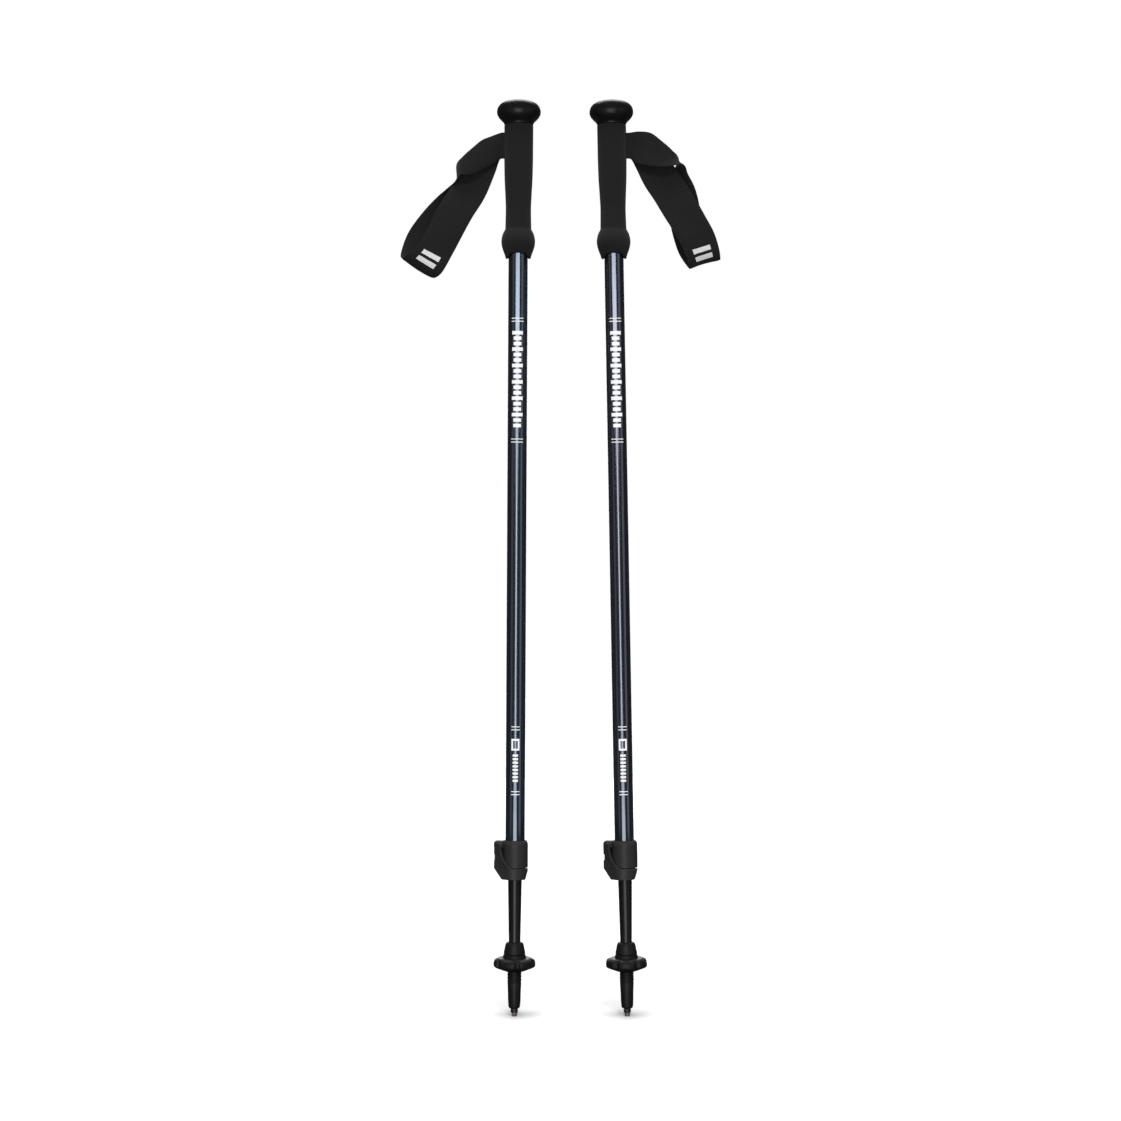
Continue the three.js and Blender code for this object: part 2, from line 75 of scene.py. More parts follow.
def pole_matrix(side):
    """Pole frame: origin at the bottom of its tip, +Z up the pole. It comes from the tip's mount."""
    foot = next(m for m in RECORD["mounts"] if m["name"] == f"{side}_tip_foot")
    up = -Vector(foot["axis"]).normalized()
    across = Vector((0, 1, 0)).cross(up)
    turn = Matrix((across, Vector((0, 1, 0)), up)).transposed().to_4x4()
    return Matrix.Translation(Vector(foot["pos_m"])) @ turn


def joint(name):
    return next(j for j in frame["joints"] if j["name"] == name)


def clamp_matrix(side):
    """Clamp frame: the pole frame turned about its axis, so that the lever's pin is on -X."""
    pole = pole_matrix(side)
    pin = pole.inverted() @ Vector(joint(f"{side}_lever_swing")["pos_m"])
    return pole @ Matrix.Rotation(math.atan2(-pin.y, -pin.x), 4, "Z")


# ---------- meshes ----------

def new_object(name, vertices, faces, place=None):
    """A mesh object at the origin, from points in millimetres in the frame called place."""
    mesh = bpy.data.meshes.new(name)
    mesh.from_pydata((np.asarray(vertices) * MM).tolist(), [], faces)
    mesh.validate()
    obj = bpy.data.objects.new(name, mesh)
    bpy.context.scene.collection.objects.link(obj)
    if place is not None:
        mesh.transform(place)
    smooth(obj)
    return obj


def smooth(obj, angle=38):
    """Smooth shading, kept sharp at edges over angle degrees."""
    obj.data.shade_smooth()
    obj.data.set_sharp_from_angle(angle=math.radians(angle))


def fix_normals(obj):
    """Welds equal points and turns every face outwards."""
    bm = bmesh.new()
    bm.from_mesh(obj.data)
    bmesh.ops.remove_doubles(bm, verts=bm.verts, dist=1e-7)
    bmesh.ops.recalc_face_normals(bm, faces=bm.faces)
    bm.to_mesh(obj.data)
    bm.free()


def filleted(profile, fillet=0.4, steps=3, closed=False):
    """The profile with each corner rounded off, at most as far as half way along its edges."""
    points = [Vector(p) for p in profile]
    count = len(points)
    out = []
    for i, corner in enumerate(points):
        if not closed and i in (0, count - 1):
            out.append(corner)
            continue
        before, after = points[i - 1], points[(i + 1) % count]
        reach = min(fillet, (corner - before).length * 0.45, (after - corner).length * 0.45)
        start = corner + (before - corner).normalized() * reach
        end = corner + (after - corner).normalized() * reach
        for k in range(steps + 1):
            t = k / steps
            out.append(start * (1 - t) ** 2 + corner * 2 * t * (1 - t) + end * t * t)
    return [tuple(p) for p in out]


def turned(name, profile, place, segments=96, ring=False, shape=None):
    """Turns a profile of (radius, height) about Z. shape(points) may then move the grid of points."""
    profile = np.array(profile, float)
    angles = np.linspace(0, 2 * math.pi, segments, endpoint=False)
    grid = np.stack([
        profile[:, None, 0] * np.cos(angles),
        profile[:, None, 0] * np.sin(angles),
        np.repeat(profile[:, 1:2], segments, axis=1),
    ], axis=-1)
    if shape is not None:
        grid = shape(grid)
    rows = len(profile)
    faces = []
    for i in range(rows if ring else rows - 1):
        below, above = i * segments, ((i + 1) % rows) * segments
        for k in range(segments):
            n = (k + 1) % segments
            faces.append((below + k, below + n, above + n, above + k))
    obj = new_object(name, grid.reshape(-1, 3), faces)
    fix_normals(obj)
    obj.data.transform(place)
    smooth(obj)
    return obj


def polar(grid):
    """Radius and angle of each point of a turned grid."""
    return np.hypot(grid[..., 0], grid[..., 1]), np.arctan2(grid[..., 1], grid[..., 0])


def scaled_out(grid, scale):
    """Moves each point of a turned grid to scale times its radius."""
    grid[..., :2] *= scale[..., None]
    return grid


def spaced(start, end, step):
    """Even values from start to end, about step apart."""
    count = max(2, int(round(abs(end - start) / step)) + 1)
    return np.linspace(start, end, count)


def plan_solid(name, outline, bottom, top):
    """A flat outline in plan, raised from bottom to top."""
    count = len(outline)
    points = [(x, y, bottom) for x, y in outline] + [(x, y, top) for x, y in outline]
    faces = [tuple(reversed(range(count))), tuple(range(count, 2 * count))]
    faces += [(i, (i + 1) % count, count + (i + 1) % count, count + i) for i in range(count)]
    obj = new_object(name, points, faces)
    fix_normals(obj)
    return obj


def front_solid(name, outline, front, back):
    """An outline in front view (x, z), run through from front to back."""
    obj = plan_solid(name, outline, -back, -front)
    obj.data.transform(Matrix.Rotation(math.radians(90), 4, "X"))
    return obj


def disc(radius, centre=(0, 0), segments=72):
    """The outline of a circle, for plan_solid or front_solid."""
    angles = np.linspace(0, 2 * math.pi, segments, endpoint=False)
    return [(centre[0] + radius * math.cos(a), centre[1] + radius * math.sin(a)) for a in angles]


def rectangle(x0, x1, y0, y1):
    return [(x0, y0), (x1, y0), (x1, y1), (x0, y1)]


def remove(obj):
    mesh = obj.data
    bpy.data.objects.remove(obj)
    bpy.data.meshes.remove(mesh)


def apply_modifiers(obj):
    depsgraph = bpy.context.evaluated_depsgraph_get()
    made = bpy.data.meshes.new_from_object(obj.evaluated_get(depsgraph))
    old = obj.data
    obj.modifiers.clear()
    obj.data = made
    bpy.data.meshes.remove(old)


def triangulate(obj):
    bm = bmesh.new()
    bm.from_mesh(obj.data)
    bmesh.ops.triangulate(bm, faces=bm.faces)
    bmesh.ops.remove_doubles(bm, verts=bm.verts, dist=1e-7)
    bm.to_mesh(obj.data)
    bm.free()


def combine(obj, operation, *others):
    """Joins, cuts or intersects obj with each of the others, which are then deleted."""
    for other in others:
        triangulate(obj)
        triangulate(other)
        modifier = obj.modifiers.new(operation, "BOOLEAN")
        modifier.operation = operation
        modifier.solver = "EXACT"
        modifier.object = other
        apply_modifiers(obj)
        remove(other)
    return obj


def moulded(obj, voxel=0.3, rounds=4):
    """Softens every edge as on an injection moulding."""
    remesh = obj.modifiers.new("remesh", "REMESH")
    remesh.mode = "VOXEL"
    remesh.voxel_size = voxel * MM
    soften = obj.modifiers.new("soften", "SMOOTH")
    soften.factor = 0.5
    soften.iterations = rounds
    apply_modifiers(obj)
    obj.data.shade_smooth()
    return obj


# ---------- material nodes ----------

class Nodes:
    """Short names for the nodes of one material."""

    def __init__(self, name, base, roughness, metallic=0.0):
        self.material = bpy.data.materials.new(name)
        self.material.use_nodes = True
        self.tree = self.material.node_tree
        self.shader = self.tree.nodes["Principled BSDF"]
        self.shader.inputs["Base Color"].default_value = (*base, 1)
        self.shader.inputs["Roughness"].default_value = roughness
        self.shader.inputs["Metallic"].default_value = metallic
        self.coords = self.tree.nodes.new("ShaderNodeTexCoord")

    def set(self, **values):
        for name, value in values.items():
            self.shader.inputs[name.replace("_", " ")].default_value = value

    def link(self, source, target):
        self.tree.links.new(source, target)

    def mapped(self, stretch=(1, 1, 1), space="Object"):
        mapping = self.tree.nodes.new("ShaderNodeMapping")
        mapping.inputs["Scale"].default_value = stretch
        self.link(self.coords.outputs[space], mapping.inputs["Vector"])
        return mapping.outputs["Vector"]

    def noise(self, vector, scale, detail=3.0, roughness=0.5):
        node = self.tree.nodes.new("ShaderNodeTexNoise")
        node.inputs["Scale"].default_value = scale
        node.inputs["Detail"].default_value = detail
        node.inputs["Roughness"].default_value = roughness
        self.link(vector, node.inputs["Vector"])
        return node.outputs["Fac"]

    def cells(self, vector, scale, feature="F1"):
        node = self.tree.nodes.new("ShaderNodeTexVoronoi")
        node.feature = feature
        node.inputs["Scale"].default_value = scale
        self.link(vector, node.inputs["Vector"])
        return node.outputs["Distance"]

    def math(self, operation, first, second=0.0):
        node = self.tree.nodes.new("ShaderNodeMath")
        node.operation = operation
        for socket, value in zip(node.inputs, (first, second)):
            if isinstance(value, (int, float)):
                socket.default_value = value
            else:
                self.link(value, socket)
        return node.outputs[0]

    def remap(self, value, low, high, from_low=0.0, from_high=1.0):
        node = self.tree.nodes.new("ShaderNodeMapRange")
        node.inputs["From Min"].default_value = from_low
        node.inputs["From Max"].default_value = from_high
        node.inputs["To Min"].default_value = low
        node.inputs["To Max"].default_value = high
        self.link(value, node.inputs["Value"])
        return node.outputs["Result"]

    def mix(self, factor, first, second):
        node = self.tree.nodes.new("ShaderNodeMix")
        node.data_type = "RGBA"
        self.link(factor, node.inputs["Factor"])
        for socket, value in ((node.inputs["A"], first), (node.inputs["B"], second)):
            if isinstance(value, tuple):
                socket.default_value = (*value, 1)
            else:
                self.link(value, socket)
        return node.outputs["Result"]

    def axis(self, vector, letter):
        node = self.tree.nodes.new("ShaderNodeSeparateXYZ")
        self.link(vector, node.inputs[0])
        return node.outputs[letter]

    def bump(self, height, distance, strength=1.0, below=None):
        node = self.tree.nodes.new("ShaderNodeBump")
        node.inputs["Strength"].default_value = strength
        node.inputs["Distance"].default_value = distance
        self.link(height, node.inputs["Height"])
        if below is not None:
            self.link(below, node.inputs["Normal"])
        return node.outputs["Normal"]

    def edges(self, low=0.51, high=0.56):
        """0 on flat stretches, rising to 1 on the outer edges, where handling rubs."""
        geometry = self.tree.nodes.new("ShaderNodeNewGeometry")
        return self.remap(geometry.outputs["Pointiness"], 0, 1, low, high)

    def colour(self, socket):
        self.link(socket, self.shader.inputs["Base Color"])

    def rough(self, socket):
        self.link(socket, self.shader.inputs["Roughness"])

    def normal(self, socket):
        self.link(socket, self.shader.inputs["Normal"])


def shade(value, tint=(1, 1, 1)):
    return tuple(value * t for t in tint)


def anodised_tube(name, deep, bright):
    """Glossy dyed aluminium with a fine drawn grain along the tube."""
    n = Nodes(name, deep, 0.16, 1.0)
    n.set(Coat_Weight=0.5, Coat_Roughness=0.08, Coat_IOR=1.45)
    drawn = n.noise(n.mapped((1, 1, 0.004)), 1600, 3, 0.5)
    cloud = n.noise(n.mapped((1, 1, 0.1)), 40, 2)
    n.colour(n.mix(n.remap(cloud, 0, 1, 0.1, 0.9), deep, bright))
    n.rough(n.remap(drawn, 0.13, 0.19))
    n.normal(n.bump(drawn, 0.000004, 0.3))
    return n.material


def black_tube():
    """Satin black anodising, with faint lines rubbed by the clamp as the tube slides."""
    n = Nodes("black_anodised", shade(0.004), 0.26)
    n.set(Specular_IOR_Level=0.55)
    drawn = n.noise(n.mapped((1, 1, 0.01)), 1400, 3, 0.5)
    rubbed = n.noise(n.mapped((1, 1, 0.05)), 260, 3)
    n.colour(n.mix(n.remap(rubbed, 0, 1, 0.45, 0.75), shade(0.0035), shade(0.009)))
    n.rough(n.remap(drawn, 0.22, 0.32))
    n.normal(n.bump(drawn, 0.000006, 0.3))
    return n.material


def foam():
    """Dense closed-cell foam: matte, with open cells on its ground surface."""
    n = Nodes("grip_foam", shade(0.009), 0.93)
    n.set(Sheen_Weight=0.04, Sheen_Roughness=0.6, Specular_IOR_Level=0.12)
    fine = n.cells(n.mapped(), 1500)
    broad = n.noise(n.mapped(), 420, 4, 0.6)
    patches = n.noise(n.mapped((1, 1, 0.5)), 45, 3)
    tone = n.mix(n.remap(patches, 0.15, 0.85), shade(0.009), shade(0.0135, (1, 0.975, 0.98)))
    # Painted shade: the middle of each cell, where its bump is lowest, is painted darker towards 0.004, as
    # shade inside the pores.
    n.colour(n.mix(n.remap(fine, 0.55, 0.0, 0.0, 0.45), tone, shade(0.004)))
    n.rough(n.remap(broad, 0.86, 0.98))
    ground = n.bump(broad, 0.00025, 0.35)
    n.normal(n.bump(fine, 0.00018, 0.45, ground))
    return n.material


def gloss_plastic():
    """Glossy moulded knob with faint handling marks."""
    n = Nodes("knob_plastic", shade(0.004), 0.36)
    n.set(Specular_IOR_Level=0.5)
    smear = n.noise(n.mapped(), 90, 4, 0.55)
    grain = n.noise(n.mapped(), 2400, 2)
    n.colour(n.mix(n.edges(0.52, 0.6), shade(0.004), shade(0.009)))
    n.rough(n.remap(smear, 0.3, 0.42))
    n.normal(n.bump(grain, 0.000006, 0.25))
    return n.material


def matte_plastic(name, tone, roughness, wear):
    """Moulded nylon with a fine spark-eroded grain, lighter where its edges are rubbed."""
    n = Nodes(name, shade(tone), roughness)
    n.set(Specular_IOR_Level=0.35)
    grain = n.noise(n.mapped(), 2600, 3, 0.7)
    cloud = n.noise(n.mapped(), 120, 3)
    body = n.mix(n.remap(cloud, 0.2, 0.8), shade(tone * 0.85), shade(tone * 1.2, (1, 0.98, 0.97)))
    scuffed = n.math("MULTIPLY", n.edges(), n.remap(n.noise(n.mapped(), 500, 2), 0.2, 1, 0.3, 0.7))
    n.colour(n.mix(n.math("MULTIPLY", scuffed, wear), body, shade(0.06)))
    n.rough(n.remap(grain, roughness - 0.08, roughness + 0.1))
    n.normal(n.bump(grain, 0.00004, 0.4))
    return n.material


def metal(name, dark, light, roughness):
    """Turned metal with fine rings and small stains."""
    n = Nodes(name, light, roughness, 1.0)
    rings = n.noise(n.mapped((0.1, 0.1, 1)), 3000, 3, 0.6)
    stain = n.noise(n.mapped(), 350, 4, 0.6)
    n.colour(n.mix(n.remap(stain, 0, 1, 0.35, 0.7), dark, light))
    n.rough(n.remap(rings, roughness - 0.08, roughness + 0.14))
    n.normal(n.bump(rings, 0.00002, 0.4))
    return n.material


def white_ink():
    """Screen-printed marks, a little worn."""
    n = Nodes("white_ink", shade(0.8), 0.45)
    chipped = n.noise(n.mapped(), 1800, 4, 0.7)
    n.colour(n.mix(n.remap(chipped, 0, 1, 0.6, 0.7), shade(0.78), shade(0.35)))
    n.rough(n.remap(chipped, 0.4, 0.6))
    n.normal(n.bump(chipped, 0.00001, 0.3))
    return n.material


STRAP_WIDTH = 32.0
RIB_PITCH = 1.5          # millimetres between the webbing's cross ribs
WARP_PITCH = 1.15        # millimetres between its warp cords


def webbing():
    """Nylon webbing with two plain printed stripes where the UV along it is near 0.

    Its UV map is in millimetres: across the width, then along the length. Its colour is painted lighter on
    the weave's crests and darker in its troughs: painted light and shade.
    """
    n = Nodes("nylon_webbing", shade(0.009), 0.85)
    n.set(Sheen_Weight=0.06, Sheen_Roughness=0.45, Specular_IOR_Level=0.15)
    uv = n.mapped(space="UV")
    across, along = n.axis(uv, "X"), n.axis(uv, "Y")
    cord = n.math("SINE", n.math("MULTIPLY", across, 2 * math.pi / WARP_PITCH))
    slant = n.math("MULTIPLY", n.math("PINGPONG", across, 4.0), 0.35)
    rib = n.math("SINE", n.math("MULTIPLY", n.math("ADD", along, slant), 2 * math.pi / RIB_PITCH))
    weave = n.math("ADD", n.math("MULTIPLY", rib, 0.65), n.math("MULTIPLY", cord, 0.35))
    height = n.remap(weave, 0, 1, -1, 1)
    fuzz = n.noise(uv, 3.5, 3, 0.6)
    patches = n.noise(uv, 0.12, 3)
    tone = n.mix(n.remap(patches, 0.2, 0.8), shade(0.007), shade(0.01, (1, 0.99, 1.01)))
    # Painted light and shade: the weave's crests are painted lighter and its troughs darker, by the same
    # height that drives the bump.
    painted_rib_shading = n.mix(n.remap(height, 0, 1, 0.35, 1), tone, shade(0.017, (1, 0.99, 1.02)))
    cloth = n.mix(n.remap(fuzz, 0, 0.5, 0.45, 0.8), painted_rib_shading, shade(0.015))
    off_centre = n.math("ABSOLUTE", n.math("SUBTRACT", across, STRAP_WIDTH / 2))
    off_middle = n.math("ABSOLUTE", n.math("SUBTRACT", n.math("ABSOLUTE", along), 4.1))
    stripe = n.math("MULTIPLY", n.math("LESS_THAN", off_centre, 8.5), n.math("LESS_THAN", off_middle, 2.5))
    # The printed stripes' ink, with painted shade: darker in the weave's troughs and lighter on its crests.
    ink_with_painted_rib_shade = n.mix(n.remap(height, 0, 1, 0.2, 1), shade(0.5), shade(0.75))
    n.colour(n.mix(stripe, cloth, ink_with_painted_rib_shade))
    n.rough(n.remap(fuzz, 0.78, 0.95))
    n.normal(n.bump(fuzz, 0.00012, 0.3, n.bump(height, 0.00028, 0.7)))
    return n.material


def finishes():
    return {
        "left_tube": anodised_tube("anodised_teal", (0.16, 0.2, 0.25), (0.19, 0.23, 0.28)),
        "right_tube": anodised_tube("anodised_violet", (0.18, 0.19, 0.24), (0.21, 0.22, 0.27)),
        "black_tube": black_tube(),
        "foam": foam(),
        "knob": gloss_plastic(),
        "clamp": matte_plastic("clamp_nylon", 0.018, 0.42, 0.5),
        "tip": matte_plastic("tip_nylon", 0.0055, 0.42, 0.3),
        "inner": matte_plastic("inner_nylon", 0.01, 0.6, 0.2),
        "steel": metal("zinc_steel", shade(0.3), shade(0.55), 0.32),
        "holder": metal("blackened_steel", (0.06, 0.045, 0.04), (0.16, 0.12, 0.1), 0.38),
        "carbide": metal("hard_metal", shade(0.3), shade(0.6), 0.42),
        "ink": white_ink(),
        "webbing": webbing(),
    }


def dress(obj, material, body, slot, *replaced):
    """Gives a piece its finish, its body and the CAD nodes that it stands for."""
    obj.data.materials.clear()
    obj.data.materials.append(FINISH[material])
    if body is not None:
        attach(obj, body)
    if replaced:
        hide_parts(*replaced)
    return obj


# ---------- tip and basket ----------

POINT_RADIUS, POINT_TOP = 2.6, 7.9
FLUTES = 8
STEM_TOP = 63.42                    # the stem's shoulder, just under the cone and the lower tube
THREAD_BOTTOM, THREAD_TOP, THREAD_PITCH = 34.5, 61.0, 3.2
THREAD_ROOT, THREAD_CREST = 6.95, 7.5
BASKET_BOTTOM, BASKET_TOP = 46.3, 63.2
BASKET_RADIUS, HUB_RADIUS, BASKET_BORE = 21.6, 11.7, 7.9
BASKET_LOBES = 6
NOTCH_RADIUS, NOTCH_REACH = 3.1, BASKET_RADIUS + 0.4


def carbide_tip(side, place):
    """Hard-metal point with a dished end. Its flutes are deepest at the end."""
    def flute(grid):
        _, angle = polar(grid)
        low = np.clip((POINT_TOP - grid[..., 2]) / POINT_TOP, 0, 1)
        return scaled_out(grid, 1 - 0.09 * low * (0.5 - 0.5 * np.cos(FLUTES * angle)))

    profile = [(0, 0.9), (1.2, 0.55), (1.9, 0.02), (2.45, 0), (POINT_RADIUS, 0.4), (POINT_RADIUS, POINT_TOP),
               (0, POINT_TOP)]
    obj = turned(f"{side}_carbide_point", filleted(profile, 0.2), place, shape=flute)
    return dress(obj, "carbide", f"{side}_lower_section", "carbide", f"{side}_carbide_tip")


def tip_holder(side, place):
    """Thin steel cup round the point, with a stem that goes up into the tip."""
    profile = [(2.75, 3.6), (3.4, 3.6), (3.7, 3.95), (3.7, 7.6), (3.55, 7.9), (3.0, 7.9), (3.0, 12),
               (2.75, 12)]
    obj = turned(f"{side}_tip_cup", filleted(profile, 0.15, closed=True), place, ring=True)
    return dress(obj, "holder", f"{side}_lower_section", "holder_steel", f"{side}_tip_holder")


def thread(grid):
    """Raises a helical ridge on the rows between the thread's ends."""
    radius, angle = polar(grid)
    above = grid[..., 2] - THREAD_BOTTOM
    below = THREAD_TOP - grid[..., 2]
    turns = above / THREAD_PITCH - angle / (2 * math.pi)
    ridge = np.clip(1.6 * np.cos(2 * math.pi * turns), -0.6, 1) * 0.5 + 0.3
    fade = np.clip(above / 2, 0, 1) * np.clip(below / 2, 0, 1)
    outside = (radius > THREAD_ROOT - 0.4) & (radius < THREAD_CREST)
    wanted = THREAD_ROOT + (THREAD_CREST - THREAD_ROOT) * ridge * fade
    on_thread = outside & (above > 0) & (below > 0)
    return scaled_out(grid, np.where(on_thread, wanted / np.maximum(radius, 1e-6), 1))


def tip_body(side, place):
    """Moulded stem: the cup's socket below, the basket's thread, and a spigot inside the lower tube."""
    lower = [(3.4, 14), (3.4, 8.2), (5.2, 8.2), (5.9, 9.3), (6.5, 16), (6.75, 26), (7.15, 34.3)]
    threaded = [(THREAD_ROOT, z) for z in spaced(THREAD_BOTTOM + 0.1, THREAD_TOP, 0.2)]
    upper = [(THREAD_ROOT, STEM_TOP), (4.6, STEM_TOP), (4.6, 70), (3.6, 70), (3.6, 14)]
    profile = filleted(lower, 0.5) + threaded + upper
    obj = turned(f"{side}_tip_stem", profile, place, ring=True, shape=thread)
    return dress(obj, "tip", f"{side}_lower_section", "tip_plastic", f"{side}_tip_body")


def tip_collar(side, place):
    """Cone that covers the end of the lower tube."""
    profile = [(6.2, 63.5), (10.7, 63.5), (11.1, 64.2), (11.1, 66), (10.6, 67.4), (9.9, 71.6), (8.9, 75),
               (7.6, 76), (6.2, 76)]
    obj = turned(f"{side}_tip_cone", filleted(profile, 0.7, 4, closed=True), place, ring=True)
    return dress(obj, "tip", f"{side}_lower_section", "tip_plastic", f"{side}_tip_collar")


def basket_rim(angle):
    """Radius of the basket's rim. angle is measured from a notch."""
    half_lobe = math.pi / BASKET_LOBES
    off = (angle + half_lobe) % (2 * half_lobe) - half_lobe
    sideways = NOTCH_REACH * np.sin(np.abs(off))
    notch = NOTCH_REACH * np.cos(off) - np.sqrt(np.maximum(NOTCH_RADIUS ** 2 - sideways ** 2, 0))
    shoulder = np.clip((sideways - NOTCH_RADIUS) / 2.2, 0, 1)
    lobe = BASKET_RADIUS - 0.9 * (1 - shoulder) ** 2
    return np.where(sideways < NOTCH_RADIUS, np.minimum(notch, BASKET_RADIUS), lobe)


def basket(side, place, first_notch):
    """The rim's radius dips at each notch, and everything outside the hub follows it."""
    def lobed(grid):
        radius, angle = polar(grid)
        rim = basket_rim(angle - math.radians(first_notch))
        share = np.clip((radius - HUB_RADIUS) / (BASKET_RADIUS - HUB_RADIUS), 0, 1)
        wanted = radius + share * (rim - BASKET_RADIUS)
        scaled_out(grid, wanted / np.maximum(radius, 1e-6))
        droop = 1.1 * (1 - np.clip((BASKET_RADIUS - rim) / 3, 0, 1)) * share ** 2
        grid[..., 2] -= droop * (grid[..., 2] > 55)
        return grid

    underside = [(BASKET_BORE, BASKET_BOTTOM), (9.7, BASKET_BOTTOM), (14, 47.9), (20.4, 50.4)]
    edge = [(BASKET_RADIUS, 51.8), (BASKET_RADIUS, 56.4), (20.6, 58.8), (17, 60.2), (12.6, 59.8)]
    hub = [(HUB_RADIUS, 60.4), (HUB_RADIUS, 62.7), (11.3, BASKET_TOP), (BASKET_BORE, BASKET_TOP)]
    profile = filleted(underside + edge + hub, 0.8, 4, closed=True)
    obj = turned(f"{side}_trek_basket", profile, place, 240, ring=True, shape=lobed)
    return dress(obj, "tip", f"{side}_basket_body", "tip_plastic", f"{side}_basket")


# ---------- tubes ----------

UPPER_RADIUS, UPPER_BORE = 10.0, 8.7
UPPER_BOTTOM, UPPER_TOP = 155.9, 867.4
LOWER_RADIUS, LOWER_BORE = 7.1, 6.0
LOWER_BOTTOM, LOWER_TOP = 63.6, 712
TAPER_BOTTOM, TAPER_TOP = 76.7, 137     # below this stretch the lower tube is thinner
THIN_RADIUS, THIN_BORE = 6.0, 4.9
ROW_STEP = 60                           # between the rows of points along a tube
PRINT_RADIUS, PRINT_THICKNESS = UPPER_RADIUS + 0.01, 0.05
TICKS = {716.1: 37, 592.1: 37, 296.8: 25, 230.3: 25}     # height of each double tick, and half its angle
TICK_SPREAD = 1.55                      # from the middle of a double tick to each of its lines
LONG_SCALE_TOP, LONG_SCALE_PITCH = 704.5, 5.6
SQUARE = (274, 286)                     # bottom and top of the small printed square
SHORT_SCALE_TOP, SHORT_SCALE_PITCH = 270, 3.7


def lower_shaft(side, place):
    thick = [(LOWER_RADIUS, z) for z in spaced(TAPER_TOP, LOWER_TOP, ROW_STEP)]
    outside = [(THIN_RADIUS, LOWER_BOTTOM), (THIN_RADIUS, TAPER_BOTTOM), *thick]
    inside = [(LOWER_BORE, LOWER_TOP), (LOWER_BORE, TAPER_TOP), (THIN_BORE, TAPER_BOTTOM),
              (THIN_BORE, LOWER_BOTTOM)]
    profile = filleted(outside + inside, 0.25, 2, closed=True)
    obj = turned(f"{side}_lower_tube", profile, place, ring=True)
    return dress(obj, "black_tube", f"{side}_lower_section", "lower_tube", f"{side}_lower_shaft")


def upper_shaft(side, place):
    outside = [(UPPER_RADIUS, z) for z in spaced(UPPER_BOTTOM, UPPER_TOP, ROW_STEP)]
    inside = [(UPPER_BORE, UPPER_TOP), (UPPER_BORE, UPPER_BOTTOM)]
    profile = filleted(outside + inside, 0.25, 2, closed=True)
    obj = turned(f"{side}_upper_tube", profile, place, 128, ring=True)
    return dress(obj, f"{side}_tube", "root", "upper_tube", f"{side}_upper_shaft")


def patch(points, faces, from_angle, to_angle, bottom, top):
    """Adds one printed mark: a thin curved sheet just proud of the upper tube. Angle 0 is the front."""
    columns = 9
    start = len(points)
    for radius in (PRINT_RADIUS, PRINT_RADIUS + PRINT_THICKNESS):
        for z in (bottom, top):
            for k in range(columns):
                angle = math.radians(from_angle + (to_angle - from_angle) * k / (columns - 1))
                points.append((radius * math.sin(angle), -radius * math.cos(angle), z))
    for k in range(columns - 1):
        a, b, c, d = (start + row * columns + k for row in range(4))
        faces.append((c, c + 1, d + 1, d))
        faces.append((a, b, b + 1, a + 1))
        faces.append((a, a + 1, c + 1, c))
        faces.append((b, d, d + 1, b + 1))
    for k in (0, columns - 1):
        a, b, c, d = (start + row * columns + k for row in range(4))
        faces.append((a, c, d, b))


def tube_print(side, place):
    """Plain printed marks: double ticks, a long graduated scale, a small square and a short scale."""
    points, faces = [], []

    def bar(half_angle, bottom, top):
        patch(points, faces, -half_angle, half_angle, bottom, top)

    for middle, half_angle in TICKS.items():
        for z in (middle - TICK_SPREAD, middle + TICK_SPREAD):
            bar(half_angle, z - 0.4, z + 0.4)
    for i in range(18):
        top = LONG_SCALE_TOP - i * LONG_SCALE_PITCH
        bar(33 if i % 3 == 0 else 23, top - 3.6, top)
    square_bottom, square_top = SQUARE
    bar(24, square_top - 2, square_top)
    bar(24, square_bottom, square_bottom + 2)
    for angle in (-24, 14):
        patch(points, faces, angle, angle + 10, square_bottom + 2, square_top - 2)
    for i in range(8):
        top = SHORT_SCALE_TOP - i * SHORT_SCALE_PITCH
        bar(16, top - 2.1, top)
    obj = new_object(f"{side}_tube_print", points, faces)
    fix_normals(obj)
    obj.data.transform(place)
    return dress(obj, "ink", "root", "upper_tube")


# ---------- clamp ----------

HINGE = (-17.6, 0.0)                    # the lever's pin, in plan
PIN_HOLE = 1.75
NECK_BOTTOM, COLLAR_BOTTOM, COLLAR_TOP = 141.5, 153.3, 181.0
COLLAR_RADIUS, NECK_RADIUS = 13.3, 10.9
EAR_BOTTOM, EAR_TOP, EAR_RADIUS = 173.8, COLLAR_TOP - 0.5, 4.3
LOW_EAR_TOP, LOW_EAR_RADIUS = 153.6, 3.4
SCREW_Z = 163.7
NUT_FACE, NUT_RIDGES = 11.9, 20         # depth of the nut's face, and its knurl
SLIT = (7.2, 8.8)                       # the slit between the two lugs, front to back
THROUGH = 2                             # how far a cutter passes the face that it comes out of


def upright(radius, bottom, top, centre=(0, 0)):
    """A rod along the pole."""
    return plan_solid("rod", disc(radius, centre), bottom, top)


def screw_rod(radius, front, back):
    """A rod on the clamp screw's line."""
    return front_solid("rod", disc(radius, (HINGE[0], SCREW_Z), 40), front, back)


def rounded_ear():
    """The upper ear in front view, with its outer top corner rounded off."""
    left, corner = HINGE[0] - EAR_RADIUS, 3.4
    outline = [(-10.5, EAR_BOTTOM), (-10.5, EAR_TOP)]
    for a in np.linspace(math.pi / 2, math.pi, 10):
        outline.append((left + corner + corner * math.cos(a), EAR_TOP - corner + corner * math.sin(a)))
    return outline + [(left, EAR_BOTTOM)]


def ear(radius, half_width, bottom, top, outline):
    """A lug round the pin, joined to the collar and trimmed to its outline in front view."""
    plan = combine(
        upright(radius, bottom, top, HINGE), "UNION",
        plan_solid("web", rectangle(HINGE[0], -10.2, -half_width, half_width), bottom, top),
    )
    return combine(plan, "INTERSECT", front_solid("outline", outline, -6, 6))


